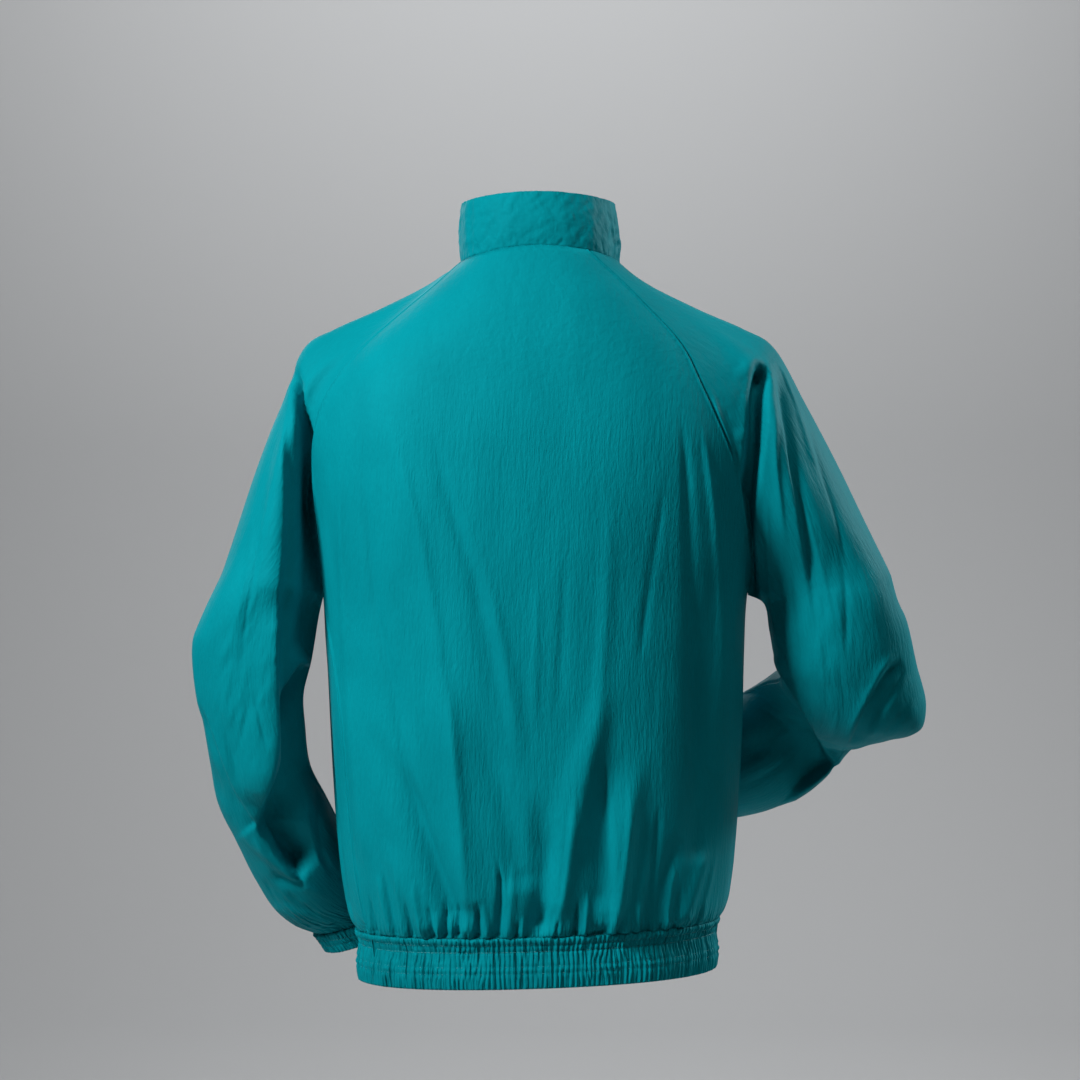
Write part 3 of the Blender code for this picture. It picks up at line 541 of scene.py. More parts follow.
def cap_ring(z, turn, side):
    """Sleeve cap at body height z: the body's ring between the raglan seams, drawn out to the crest."""
    z, turn = np.broadcast_arrays(np.asarray(z, float), np.asarray(turn, float))
    front, back = front_seam(z, side), back_seam(z, side)
    base = body_ring(z, front + (back - front) * turn)
    knots = column(CAP, "z")
    def size(name):
        return smooth(knots, column(CAP, of_side(side, "l", "r") + name), z)

    crest = np.stack([side * size("x"), size("y"), size("z")], -1)
    out = (crest - body_ring(z, (front + back) / 2)) * ease((NECK - z) / 15)[..., None]
    round_off = np.clip((CAP_ROUND - z) / (CAP_ROUND - UNDERARM), 0, 1)
    swell = across(turn, round_off)
    wave = np.sin(2 * np.pi * turn)
    sway = np.zeros(z.shape + (3,))
    sway[..., 1] = -size("full") * wave * np.abs(wave) ** (1 - round_off)
    return base + swell[..., None] * out + sway


def sleeve_lines(side):
    """The sleeve's underarm line, crest line, half depth and place of each ring along it, 0 to 1."""
    table = of_side(side, LEFT_SLEEVE, RIGHT_SLEEVE)
    under = np.array([cap_ring(UNDERARM, 0.0, side)] + [[r["ux"], r["uy"], r["uz"]] for r in table])
    crest = np.array([cap_ring(UNDERARM, 0.5, side)] + [[r["cx"], r["cy"], r["cz"]] for r in table])
    full = np.array([CAP[0][of_side(side, "lfull", "rfull")]] + [r["full"] for r in table], float)
    step = np.linalg.norm(np.diff((under + crest) / 2, axis=0), axis=1)
    place = np.concatenate([[0.0], np.cumsum(step)])
    return under, crest, full, place / place[-1]


def sleeve_ring(level, turn, side):
    """Sleeve below the underarm: an ellipse between the underarm line and the crest line."""
    under, crest, full, place = sleeve_lines(side)
    fine = np.linspace(0, 1, 241)
    low, high = smooth(place, under, fine), smooth(place, crest, fine)
    along = np.gradient((low + high) / 2, axis=0)
    behind = unit(side * np.cross(high - low, along))
    start = ease(fine / START_ROUND)[:, None]
    behind = unit(behind * start + (1 - start) * np.array([0.0, 1.0, 0.0]))
    level, turn = np.broadcast_arrays(np.asarray(level, float), np.asarray(turn, float))
    low, high, behind = (read_line(level, fine, line) for line in (low, high, behind))
    depth = (smooth(place, full, level) * np.sin(2 * np.pi * turn))[..., None]
    return low + (high - low) * across(turn, ease(1 - level / START_CREASED))[..., None] - depth * behind


def cuff_start(side):
    """Level at which the sleeve ends and its cuff begins."""
    return sleeve_lines(side)[3][-1 - CUFF_RINGS]


def sleeve_base(level, turn, side):
    """Cap above level 0, sleeve below it."""
    level, turn = np.broadcast_arrays(np.asarray(level, float), np.asarray(turn, float))
    z = UNDERARM + np.maximum(-level, 0) * (NECK - UNDERARM)
    cap = cap_ring(z, turn, side)
    tube = sleeve_ring(np.clip(level, 0, 1), turn, side)
    return np.where((level < 0)[..., None], cap, tube)


print("cuffs begin at level", round(cuff_start(1), 3), "and", round(cuff_start(-1), 3))

# %% [markdown]
# ## Folds
#
# A fold is a soft ridge or trough along a line. Its height fades in from where it starts, and its
# profile across is a bell, e^(-x^2). The big folds hang from the shoulder blades and run together at
# the hem; they are read off the garment one by one, because evenly spaced folds look like a curtain.
# A row holds three heights with the angle of the fold at each, or three levels with their turns, and
# then the fold's height in mm, less than 0 for a trough, and its width.

# %% Tables of the large folds
BODY_FOLDS = rows(
    "top at_top mid at_mid low at_low size wide",
    (-430, 50, -515, 37, -612, 23.5, -7, 4.5),
    (-380, 26, -490, 21.7, -600, 18, 5, 4),
    (-400, 18, -490, 10, -580, 4.5, -6, 4.5),
    (-500, -1, -575, -2.3, -630, -0.5, -9, 3.6),
    (-380, -22, -490, -11.5, -605, -5, 6, 4),
    (-460, -21, -530, -17.5, -600, -18.5, -5, 3.6),
    (-450, -30, -560, -23.5, -630, -20, 5, 3.6),
    (-540, -42, -580, -39, -630, -36.7, -4, 3.2),
    (-270, -47, -400, -49, -560, -50, -5, 6),
    (-540, -56, -590, -51, -630, -47, 4, 3.4),
    (-545, 44, -590, 39, -630, 34, 4, 3.4),
    (-350, 86, -470, 83, -610, 80, -4, 5),
    (-420, 108, -530, 114, -625, 121, -6, 5),
    (-380, 130, -500, 133, -620, 138, 5, 4.6),
    (-460, 150, -550, 147, -625, 145, -6, 4.2),
    (-520, 164, -580, 160, -630, 158, 4, 3.4),
    (-440, -106, -540, -112, -625, -118, -6, 5),
    (-360, -126, -490, -130, -620, -136, 5, 4.6),
    (-480, -146, -560, -150, -628, -152, -6, 4.2),
    (-540, -163, -590, -161, -630, -160, 3.5, 3.4),
)
LEFT_FOLDS = rows(
    "from_level from_turn mid_level mid_turn to_level to_turn size wide",
    (-0.85, 0.90, -0.30, 0.77, 0.05, 0.785, 4, 0.05),
    (-0.55, 0.68, -0.10, 0.69, 0.20, 0.68, -3, 0.05),
    (0.54, 0.62, 0.68, 0.70, 0.84, 0.78, 3, 0.04),
    (0.10, 0.56, 0.28, 0.57, 0.48, 0.60, 3, 0.035),
    (0.30, 0.34, 0.42, 0.22, 0.50, 0.10, -7, 0.04),
    (0.46, 0.36, 0.58, 0.24, 0.66, 0.12, -5, 0.035),
    (-0.40, 0.30, 0.00, 0.24, 0.30, 0.20, -4, 0.05),
)
RIGHT_FOLDS = rows(
    "from_level from_turn mid_level mid_turn to_level to_turn size wide",
    (-0.85, 0.80, -0.65, 0.78, -0.30, 0.82, 4, 0.045),
    (-0.60, 0.70, -0.20, 0.72, 0.15, 0.74, -3, 0.05),
    (0.46, 0.74, 0.60, 0.80, 0.78, 0.78, -5, 0.04),
    (0.52, 0.40, 0.66, 0.44, 0.82, 0.42, -5, 0.045),
    (0.14, 0.34, 0.24, 0.24, 0.32, 0.12, -6, 0.04),
    (-0.40, 0.30, 0.00, 0.24, 0.12, 0.22, -4, 0.05),
)
print("large folds:", len(BODY_FOLDS), len(LEFT_FOLDS), len(RIGHT_FOLDS))


# %% Heights of the large folds
def body_folds(z, angle):
    """Height of the folds: sum of size e^(-(off the fold's line / wide)^2), faded at its ends."""
    total = np.zeros(np.broadcast(z, angle).shape)
    for fold in BODY_FOLDS:
        knots = [fold["low"], fold["mid"], fold["top"]]
        angles = [fold["at_low"], fold["at_mid"], fold["at_top"]]
        line = smooth(knots, angles, np.clip(z, knots[0], knots[2]))
        fade = ease((fold["top"] - z) / (0.45 * (fold["top"] - fold["low"])))
        fade = fade * ease((z - fold["low"] + 20) / 20)
        total = total + fold["size"] * fade * np.exp(-((angle - line) / fold["wide"]) ** 2)
    return total * ease((z - HEM) / 14)


def sleeve_folds(level, turn, side):
    """As body_folds, on a sleeve's level and turn; none at its seams."""
    total = np.zeros(np.broadcast(level, turn).shape)
    for fold in of_side(side, LEFT_FOLDS, RIGHT_FOLDS):
        knots = [fold["from_level"], fold["mid_level"], fold["to_level"]]
        turns = [fold["from_turn"], fold["mid_turn"], fold["to_turn"]]
        line = smooth(knots, turns, np.clip(level, knots[0], knots[2]))
        reach = knots[2] - knots[0]
        fade = ease((level - knots[0]) / (0.4 * reach)) * ease((knots[2] - level) / (0.3 * reach))
        total = total + fold["size"] * fade * np.exp(-((turn - line) / fold["wide"]) ** 2)
    seam = ease(np.minimum(turn, 1 - turn) / 0.07)
    return total * seam * ease((cuff_start(side) - level) / 0.05)


print("deepest fold of the body in mm:", min(fold["size"] for fold in BODY_FOLDS))

# %% [markdown]
# Small uneven creases need a height that wanders without ever repeating. Value noise does that: random
# heights on a lattice, blended smoothly between. Its seed makes it come out the same every time.

# %% Value noise
LATTICE = 128


def lattice_noise(u, v, cell_u, cell_v, seed):
    """Random heights from -1 to 1 on a lattice of cell_u by cell_v mm, blended by ease between."""
    table = np.random.default_rng(seed).uniform(-1, 1, (LATTICE, LATTICE))
    a, b = u / cell_u, v / cell_v
    i, j = np.floor(a).astype(int), np.floor(b).astype(int)
    s, t = ease(a - i), ease(b - j)
    i0, i1, j0, j1 = i % LATTICE, (i + 1) % LATTICE, j % LATTICE, (j + 1) % LATTICE
    near = table[i0, j0] * (1 - s) + table[i1, j0] * s
    far = table[i0, j1] * (1 - s) + table[i1, j1] * s
    return near * (1 - t) + far * t


print("noise at one point:", round(float(lattice_noise(12.0, 34.0, 5, 5, 1)), 3))

# %% [markdown]
# ## Creases, noted where they are seen
#
# The large folds above give the broad drape. What makes cloth look like cloth is that each fold has
# one crisp side. Those creases are noted straight from the view: points in a picture of 1080 by 1080
# points. A point of the cloth is projected into the same picture, and its distance to a crease's
# line there gives its height. So a crease lies in the render just where it was noted, whatever the
# shape beneath it, and from every other side it is real relief. Where the cloth turns away from the eye,
# at an elbow's outline, a crease's line would run off the edge, so a few round corners are noted too.

# %% Creases from the view
PICTURE = 1080      # points across the picture, and down it


def seen(points):
    """Where points in mm show in the picture: right and down from its upper left corner."""
    near = 1 - points[..., 1] * MM / CAMERA_AWAY
    scale = PICTURE * MM / FRAME_WIDE / near
    right = PICTURE / 2 - points[..., 0] * scale
    return np.stack([right, PICTURE / 2 - (points[..., 2] - CAMERA_HEIGHT / MM) * scale], -1)


BETWEEN_POINTS = 6      # straight pieces of a crease's line between two of its points
REACH = 2.6             # widths from its line at which a crease ends


def relief_in_view(place, table):
    """Sum of size e^(-(distance / width)^power) over creases, a line being a cubic through its points. A
    crease is its height in mm, its widths left and right of the line in points of the picture, its power
    (1 a sharp edge, 2 a round fold, 3 or 4 a flat bed with steep walls), then the share of its width at
    the start and the shares of its length over which it fades in and out, and last its points."""
    total = np.zeros(place.shape[:-1])
    for size, left, right, power, (narrow, fade_in, fade_out), *path in table:
        path = np.array(path, float)
        pieces = BETWEEN_POINTS * (len(path) - 1)
        line = smooth(np.arange(len(path)), path, np.linspace(0, len(path) - 1, pieces + 1))
        reach = REACH * max(left, right)
        near = np.all((place > line.min(0) - reach) & (place < line.max(0) + reach), -1)
        step = np.diff(line, axis=0)
        long = np.linalg.norm(step, axis=1)
        run = np.concatenate([[0.0], np.cumsum(long)])
        off = place[near][:, None] - line[None, :-1]
        share = np.clip(np.sum(off * step, -1) / long ** 2, 0, 1)
        away = np.linalg.norm(off - share[..., None] * step, axis=-1)
        nearest = np.arange(len(off)), away.argmin(1)
        side = step[nearest[1], 1] * off[nearest][:, 0] - step[nearest[1], 0] * off[nearest][:, 1]
        along = (run[nearest[1]] + share[nearest] * long[nearest[1]]) / run[-1]
        width = np.where(side > 0, right, left) * (narrow + (1 - narrow) * along)
        fade = ease(along / max(fade_in, 1e-6)) * ease((1 - along) / max(fade_out, 1e-6))
        total[near] += size * fade * np.exp(-(away[nearest] / width) ** power)
    return total


def corners_in_view(place, table):
    """Corners and hollows of the outline at points (x, y): size e^(-(distance / radius)^power)."""
    total = np.zeros(place.shape[:-1])
    for x, y, size, radius, power in table:
        away = np.hypot(place[..., 0] - x, place[..., 1] - y)
        total += size * np.exp(-(away / radius) ** power)
    return total


def wrinkles_in_view(place, table):
    """Small wrinkles in oval patches of the view: noise with long cells, turned by a lean in degrees."""
    total = np.zeros(place.shape[:-1])
    for x, y, half_wide, half_high, lean, cell, size, seed in table:
        right, down = place[..., 0] - x, place[..., 1] - y
        c, s = np.cos(np.radians(lean)), np.sin(np.radians(lean))
        inside = np.exp(-((right / half_wide) ** 2 + (down / half_high) ** 2) ** 2)
        u, v = c * right + s * down + 500, c * down - s * right + 900
        total += size * inside * lattice_noise(u, v, cell, 4 * cell, seed)
    return total


print("neckline at the back seen at", np.round(seen(body_ring(NECK, 0.0))).tolist())

# %% Creases of the back
BACK_CREASES = [
    # broad drape from the shoulder blades
    (3.0, 9, 6, 2, (0.5, 0.3, 0.1), (338, 420), (342, 520), (346, 620), (352, 720), (360, 800),
     (366, 880)),
    (-2.7, 7, 9, 2, (0.5, 0.3, 0.2), (360, 430), (369, 540), (377, 620), (395, 700), (408, 790),
     (424, 860)),
    (2.4, 10, 8, 2, (0.5, 0.3, 0.3), (385, 410), (406, 480), (421, 540), (432, 600), (441, 670),
     (450, 750)),
    (-3.4, 13, 9, 2, (0.5, 0.4, 0.3), (426, 405), (441, 470), (457, 525), (474, 575), (487, 640),
     (499, 705), (508, 770)),
    (2.2, 6, 10, 2, (0.5, 0.3, 0.3), (484, 560), (498, 630), (511, 700), (520, 770)),
    (2.4, 10, 11, 2, (0.5, 0.35, 0.1), (612, 470), (608, 560), (604, 640), (597, 720), (584, 800),
     (572, 870)),
    (-2.2, 4, 5, 1.5, (0.4, 0.3, 0.3), (668, 460), (658, 530), (647, 600), (638, 680)),
    (-3.5, 10, 13, 2, (0.25, 0.2, 0.2), (681, 405), (686, 470), (690, 560), (695, 650), (699, 740),
     (700, 820)),
    (3.0, 5, 8, 2, (0.4, 0.2, 0.3), (702, 415), (709, 480), (716, 550), (721, 640), (722, 740)),
    (1.2, 6, 6, 2, (0.5, 0.3, 0.3), (540, 560), (536, 640), (534, 740)),
    (-1.2, 6, 7, 2, (0.5, 0.3, 0.3), (566, 540), (562, 640), (556, 740)),
    # the large folds where they run together over the band
    (3.5, 7, 7, 1.8, (0.7, 0.3, 0), (446, 660), (456, 760), (462, 840), (465, 900), (466, 950)),
    (-4.9, 12, 8, 2, (0.6, 0.3, 0), (404, 760), (421, 820), (436, 875), (450, 915), (456, 950)),
    (-4.6, 15, 3.5, 2, (0.4, 0.3, 0), (552, 820), (553, 865), (551, 895), (543, 925), (536, 950)),
    (3.8, 3.5, 11, 2, (0.7, 0.3, 0), (574, 790), (569, 850), (564, 890), (556, 925), (549, 950)),
    (-4.1, 15, 4.5, 2, (0.4, 0.3, 0), (604, 740), (608, 820), (611, 880), (607, 915), (601, 950)),
    (3.5, 4, 11, 2, (0.7, 0.3, 0), (630, 780), (626, 850), (620, 900), (613, 930), (609, 950)),
    (-3.0, 6, 7, 2, (0.3, 0.4, 0), (660, 790), (656, 850), (650, 900), (646, 950)),
    (2.4, 2.4, 3.2, 1.3, (0.5, 0.2, 0), (678, 862), (672, 885), (668, 915), (665, 950)),
    (-2.7, 5, 4, 2, (0.3, 0.4, 0), (682, 880), (677, 915), (672, 950)),
    (2.4, 5, 5, 1.6, (0.6, 0.3, 0), (718, 836), (709, 880), (701, 912), (694, 950)),
    (-3.2, 3, 3.4, 1.6, (0.3, 0.2, 0), (702, 902), (697, 925), (691, 950)),
    (2.2, 2.5, 3, 1.4, (0.6, 0.2, 0), (713, 916), (705, 934), (697, 950)),
    # pointed hollows over the seam of the band, from left to right
    (-3.5, 3.5, 3, 2.4, (0.15, 0.3, 0), (368, 894), (373, 920), (378, 950)),
    (2.4, 4, 3, 1.6, (0.7, 0.3, 0), (376, 870), (386, 915), (396, 950)),
    (-3.8, 4, 3, 2.4, (0.15, 0.3, 0), (381, 866), (390, 910), (398, 950)),
    (2.7, 4, 3, 1.6, (0.7, 0.3, 0), (396, 870), (401, 912), (406, 950)),
    (-4.1, 3.5, 3.5, 2.4, (0.15, 0.3, 0), (405, 896), (409, 922), (413, 950)),
    (3.0, 4, 3, 1.6, (0.7, 0.3, 0), (412, 876), (420, 915), (427, 950)),
    (-4.1, 3, 3.5, 2.4, (0.15, 0.3, 0), (427, 900), (431, 925), (434, 950)),
    (2.4, 3, 3, 1.6, (0.7, 0.3, 0), (436, 908), (438, 930), (440, 950)),
    (-4.1, 3, 3, 2.4, (0.2, 0.3, 0), (443, 898), (444, 925), (445, 950)),
    (3.2, 3, 3, 1.6, (0.7, 0.3, 0), (450, 912), (450, 930), (449, 950)),
    (-4.6, 3.5, 3, 2.6, (0.2, 0.3, 0), (456, 900), (457, 925), (457, 950)),
    (-3.2, 3, 3, 3, (0.1, 0.3, 0), (466, 928), (466, 950)),
    (-5.4, 5, 5.5, 2.8, (0.12, 0.25, 0), (477, 900), (478, 925), (477, 950)),
    (3.2, 3, 3.5, 1.6, (0.7, 0.3, 0), (484, 900), (486, 928), (487, 950)),
    (-5.7, 7, 3.5, 2.4, (0.15, 0.3, 0), (498, 856), (501, 895), (498, 950)),
    (3.0, 4, 6, 1.8, (0.8, 0.3, 0), (513, 860), (511, 905), (505, 950)),
    (-3.8, 3, 3.5, 2.8, (0.1, 0.3, 0), (518, 920), (514, 950)),
    (3.0, 2.6, 3, 1.6, (0.7, 0.3, 0), (523, 915), (521, 950)),
    (-4.9, 3.6, 4, 2.8, (0.1, 0.3, 0), (558, 917), (556, 932), (554, 950)),
    (-3.0, 2.6, 2.6, 2.6, (0.1, 0.3, 0), (566, 932), (564, 950)),
    (-5.7, 5, 5, 2.8, (0.1, 0.25, 0), (577, 898), (576, 925), (573, 950)),
    (3.2, 3.4, 3.4, 1.6, (0.7, 0.3, 0), (588, 890), (586, 925), (582, 950)),
    (-3.2, 2.6, 2.6, 2.6, (0.1, 0.3, 0), (592, 930), (589, 950)),
    (-4.3, 4.5, 4, 2.6, (0.15, 0.3, 0), (622, 916), (619, 932), (615, 950)),
    (2.4, 2.6, 3, 1.6, (0.7, 0.3, 0), (630, 905), (627, 928), (623, 950)),
    (-3.0, 2.6, 3, 2.4, (0.1, 0.3, 0), (634, 925), (631, 950)),
    (2.4, 2.6, 3, 1.6, (0.7, 0.3, 0), (640, 896), (638, 925), (635, 950)),
    (2.7, 3, 3, 1.6, (0.7, 0.3, 0), (656, 912), (652, 950)),
    (-3.2, 2.8, 3, 2.6, (0.1, 0.3, 0), (662, 922), (659, 950)),
    (2.4, 2.6, 2.6, 1.4, (0.7, 0.2, 0), (690, 912), (684, 930), (678, 950)),
    (-2.7, 2.4, 2.6, 2, (0.2, 0.2, 0), (709, 922), (703, 936), (697, 950)),
]
print("creases of the back:", len(BACK_CREASES))

# %% Creases of the left sleeve, its corners and its wrinkles
LEFT_CREASES = [
    # from the armpit down the inner side to the folds of the forearm
    (-34, 15, 7, 2.2, (0.3, 0.1, 0.1), (294, 364), (300, 395), (307, 430), (312, 475), (314, 520),
     (316, 570), (314, 620), (308, 664)),
    (9.0, 27, 5, 1.8, (0.5, 0.2, 0.1), (286, 395), (284, 450), (283, 500), (281, 550), (277, 600),
     (275, 650), (276, 700), (277, 745), (271, 780), (262, 812)),
    (8.0, 30, 3, 1.8, (0.3, 0.2, 0.1), (281, 590), (277, 640), (276, 690), (277, 745), (271, 780),
     (261, 812)),
    (-38, 2.2, 25, 2.4, (1, 0.06, 0.1), (306, 662), (291, 684), (283, 698), (283, 730), (284, 762),
     (277, 782), (267, 806), (261, 828), (273, 845), (287, 862), (304, 879)),
    (-5.0, 19, 2.2, 1.8, (0.3, 0.2, 0.05), (201, 700), (214, 740), (230, 785), (246, 812),
     (257, 828)),
    (2.6, 3, 7, 1.6, (0.4, 0.3, 0.1), (204, 706), (218, 745), (234, 787), (249, 812), (258, 826)),
    (-5.0, 2, 9, 2, (0.6, 0.08, 0.4), (304, 881), (292, 880), (281, 876), (271, 869)),
    (2.6, 5, 4, 1.8, (0.5, 0.3, 0.1), (252, 832), (264, 850), (280, 865), (298, 876)),
    (-2.0, 3, 4, 1.8, (0.4, 0.3, 0.3), (262, 505), (256, 560), (246, 620), (238, 680)),
    (1.6, 4, 4, 2, (0.4, 0.3, 0.3), (252, 520), (244, 580), (232, 640)),
    (-1.8, 3, 4, 1.8, (0.4, 0.3, 0.3), (254, 690), (260, 720), (268, 750)),
    (-2.4, 3, 5, 1.8, (0.4, 0.3, 0.2), (316, 775), (318, 810), (322, 850), (334, 880)),
    (2.0, 3, 3, 1.6, (0.4, 0.3, 0.2), (309, 780), (309, 820), (316, 855), (328, 878)),
    (1.8, 3, 4, 1.8, (0.5, 0.3, 0.3), (276, 886), (292, 900), (312, 906)),
    (-2.2, 3, 4, 1.8, (0.5, 0.3, 0.3), (284, 892), (302, 905), (322, 918)),
    (-1.6, 3, 3, 1.8, (0.5, 0.3, 0.3), (262, 872), (276, 900), (300, 925)),
    (-4, 6, 10, 1.8, (0.6, 0.2, 0.3), (297, 700), (300, 730), (296, 770), (286, 806)),
]
LEFT_CORNERS = [(193, 638, 3.2, 26, 1.4)]
LEFT_WRINKLES = [
    (222, 775, 20, 60, -18, 6, 1.3, 201), (250, 700, 34, 60, 12, 5, 0.9, 202),
    (318, 820, 20, 60, -22, 5, 1.3, 203), (296, 896, 30, 22, -60, 5, 1.3, 204),
    (236, 600, 30, 70, 22, 6, 1.0, 205), (290, 540, 10, 90, 30, 5, 1.1, 206),
    (285, 640, 14, 50, 35, 5, 1.2, 207),
]
print("creases of the left sleeve:", len(LEFT_CREASES))

# %% Creases of the right sleeve, its corners and its wrinkles
RIGHT_CREASES = [
    # from the armpit down to the bent elbow
    (-30, 8, 7, 3, (0.8, 0.06, 0.05), (761, 364), (758, 395), (757, 425), (754, 455), (750, 485),
     (746, 515), (745, 545), (747, 580), (750, 604)),
    (3.0, 6, 2.4, 1.3, (0.3, 0.1, 0.25), (768, 352), (772, 385), (774, 415), (775, 445), (778, 478),
     (782, 512), (786, 550)),
    (-8.0, 3, 17, 2, (0.3, 0.12, 0.5), (777, 366), (783, 415), (790, 460), (799, 505), (807, 555),
     (814, 610), (820, 660)),
    (2.6, 2.5, 6, 1.5, (0.3, 0.1, 0.12), (779, 362), (791, 392), (803, 425), (817, 468)),
    (-2.0, 2.5, 4, 1.6, (0.4, 0.2, 0.3), (806, 420), (822, 470), (838, 520), (852, 580)),
    (1.8, 3, 4, 1.8, (0.4, 0.3, 0.3), (796, 470), (812, 530), (826, 590), (834, 650)),
    (-1.8, 3, 4, 1.8, (0.4, 0.3, 0.3), (840, 540), (846, 600), (846, 670)),
    (1.8, 4, 4, 1.8, (0.4, 0.3, 0.2), (766, 490), (768, 550), (772, 610), (782, 665)),
    (-2.0, 3, 4, 1.8, (0.4, 0.3, 0.3), (792, 560), (797, 620), (806, 680)),
    (-40, 42, 1.6, 2.4, (0.5, 0.1, 0.04), (768, 652), (778, 675), (790, 695), (802, 715), (813, 735),
     (823, 752), (835, 768)),
    (3.2, 7, 2.0, 1.3, (0.5, 0.15, 0.04), (901, 655), (889, 662), (878, 677), (866, 700), (855, 722),
     (846, 743), (836, 766)),
    (-6.5, 2.0, 17, 2, (0.5, 0.12, 0.15), (903, 660), (891, 668), (880, 684), (868, 706), (858, 728),
     (850, 748)),
    (-2.6, 3, 3, 1.5, (0.4, 0.2, 0.2), (908, 664), (894, 690), (878, 712), (862, 736)),
    (2.2, 2.4, 3, 1.5, (0.4, 0.2, 0.2), (892, 708), (882, 722), (868, 740)),
    (-2.2, 3, 3, 1.6, (0.4, 0.2, 0.2), (914, 690), (900, 712), (884, 732)),
    (2.0, 3, 3, 1.6, (0.5, 0.2, 0.1), (786, 806), (808, 790), (834, 770)),
    (-1.8, 4, 4, 1.8, (0.5, 0.3, 0.3), (745, 700), (770, 715), (800, 745)),
    (2.0, 6, 5, 1.8, (0.4, 0.3, 0.3), (730, 380), (742, 371), (756, 362), (768, 358)),
    (2.2, 5, 6, 1.8, (0.2, 0.3, 0.05), (711, 388), (719, 415), (726, 440), (731, 468)),
    (-3.0, 2.5, 5, 2, (0.5, 0.1, 0.3), (734, 446), (736, 470), (737, 500)),
    (2.4, 2.2, 4, 1.6, (0.5, 0.1, 0.3), (735, 440), (742, 436), (749, 434)),
    # lip of the forearm's fold
    (3.4, 2.6, 4, 1.5, (1, 0.1, 0.04), (771, 651), (781, 674), (793, 694), (805, 714), (816, 734),
     (826, 750), (837, 766)),
]
RIGHT_CORNERS = [(917, 725, 8, 22, 1.4), (895, 752, -6.5, 17, 2), (872, 757, -5, 15, 2)]
RIGHT_WRINKLES = [
    (892, 702, 26, 36, 38, 5, 1.6, 211), (820, 640, 40, 90, -8, 6, 1.1, 212),
    (834, 742, 16, 26, 20, 5, 1.0, 213), (872, 741, 24, 10, 80, 4, 1.2, 214),
    (785, 760, 50, 40, 60, 8, 1.2, 215), (742, 400, 20, 40, 20, 7, 0.8, 216),
]
print("creases of the right sleeve:", len(RIGHT_CREASES))

# %% [markdown]
# ## Gathers and shallow creases
#
# Where the cloth is sewn to stretched elastic it has nowhere to go, so it bunches: narrow troughs
# leave the seam, each with its own length, and most die out within a hand's breadth. A seeded list
# of troughs gives that unevenness and the same jacket every time. Shallower creases lie all over the
# panels, a centimetre or so apart, and are value noise.

# %% Gathers and shallow creases
GATHER_POWER = 2.6


def gathers(off, around, count, seed, deep, reach):
    """Pointed hollows over a gathered seam. off: mm from the seam, around: place round it from 0 to 1,
    deep and reach: their usual depth and length. Each is -depth e^(-(x / width)^GATHER_POWER), its width
    growing from nothing at its tip to full at the seam, and its depth fading over its upper third."""
    draw = np.random.default_rng(seed)
    total = np.zeros(np.broadcast(off, around).shape)
    for place in np.arange(count) / count:
        place = place + draw.uniform(-0.38, 0.38) / count
        long = reach * draw.uniform(0.4, 1.6)
        width = draw.uniform(0.16, 0.36) / count
        lean = draw.uniform(-0.5, 0.5) / count
        depth = deep * draw.uniform(0.35, 1.25)
        x = around - place - lean * off / long
        x = (x + 0.5) % 1.0 - 0.5
        open_wide = width * (0.12 + 0.88 * np.clip(1 - off / long, 0, 1) ** 0.8)
        fade = ease(1.15 * (1 - off / long)) * ease(off / 4 + 0.4)
        total = total - depth * fade * np.exp(-np.abs(x / open_wide) ** GATHER_POWER)
    return total


def creases(u, v, seed, size):
    """Shallow uneven creases that run along v, u and v in mm."""
    broad = lattice_noise(u + 5 * lattice_noise(u, v, 60, 90, seed + 5), v, 17, 120, seed)
    narrow = lattice_noise(u + 3 * lattice_noise(u, v, 30, 50, seed + 6), v, 7.5, 52, seed + 1)
    return size * (0.75 * broad + 0.40 * narrow)


some_gathers = gathers(5.0, np.linspace(0, 1, 400), 20, 1, 3.0, 30)
print("deepest of 20 gathers in mm:", round(float(some_gathers.min()), 2))

# %% [markdown]
# ## From arrays to a piece
#
# A surface here is a grid: rows and columns of points worked out as whole arrays. The cells of the grid
# are the faces. A wall of cloth has two such grids, the outer face and a copy moved in along the
# normals, with rims between them, so it is closed and has a true thickness. Every piece has a UV map in
# metres, so the crinkles have one size all over the jacket.

# %% Meshes from arrays
def quads(grid):
    """The four corners of each cell of a grid of numbers."""
    return np.stack([grid[:-1, :-1], grid[:-1, 1:], grid[1:, 1:], grid[1:, :-1]], -1).reshape(-1, 4)


def grid_normals(points, ring=False):
    """Unit normals of a grid, from its differences along columns and rows; ring: first column = last."""
    wide = np.concatenate([points[:, -2:-1], points, points[:, 1:2]], 1) if ring else points
    along_columns = np.gradient(wide, axis=1)
    along_columns = along_columns[:, 1:-1] if ring else along_columns
    return unit(np.cross(along_columns, np.gradient(points, axis=0)))


def lengths(points, axis):
    """Length along a grid of points from its first row or column."""
    first = np.take(points, [0], axis)
    return np.cumsum(np.linalg.norm(np.diff(points, axis=axis, prepend=first), axis=-1), axis)


print("faces of a grid of 4 by 5 points:", len(quads(np.arange(20).reshape(4, 5))))
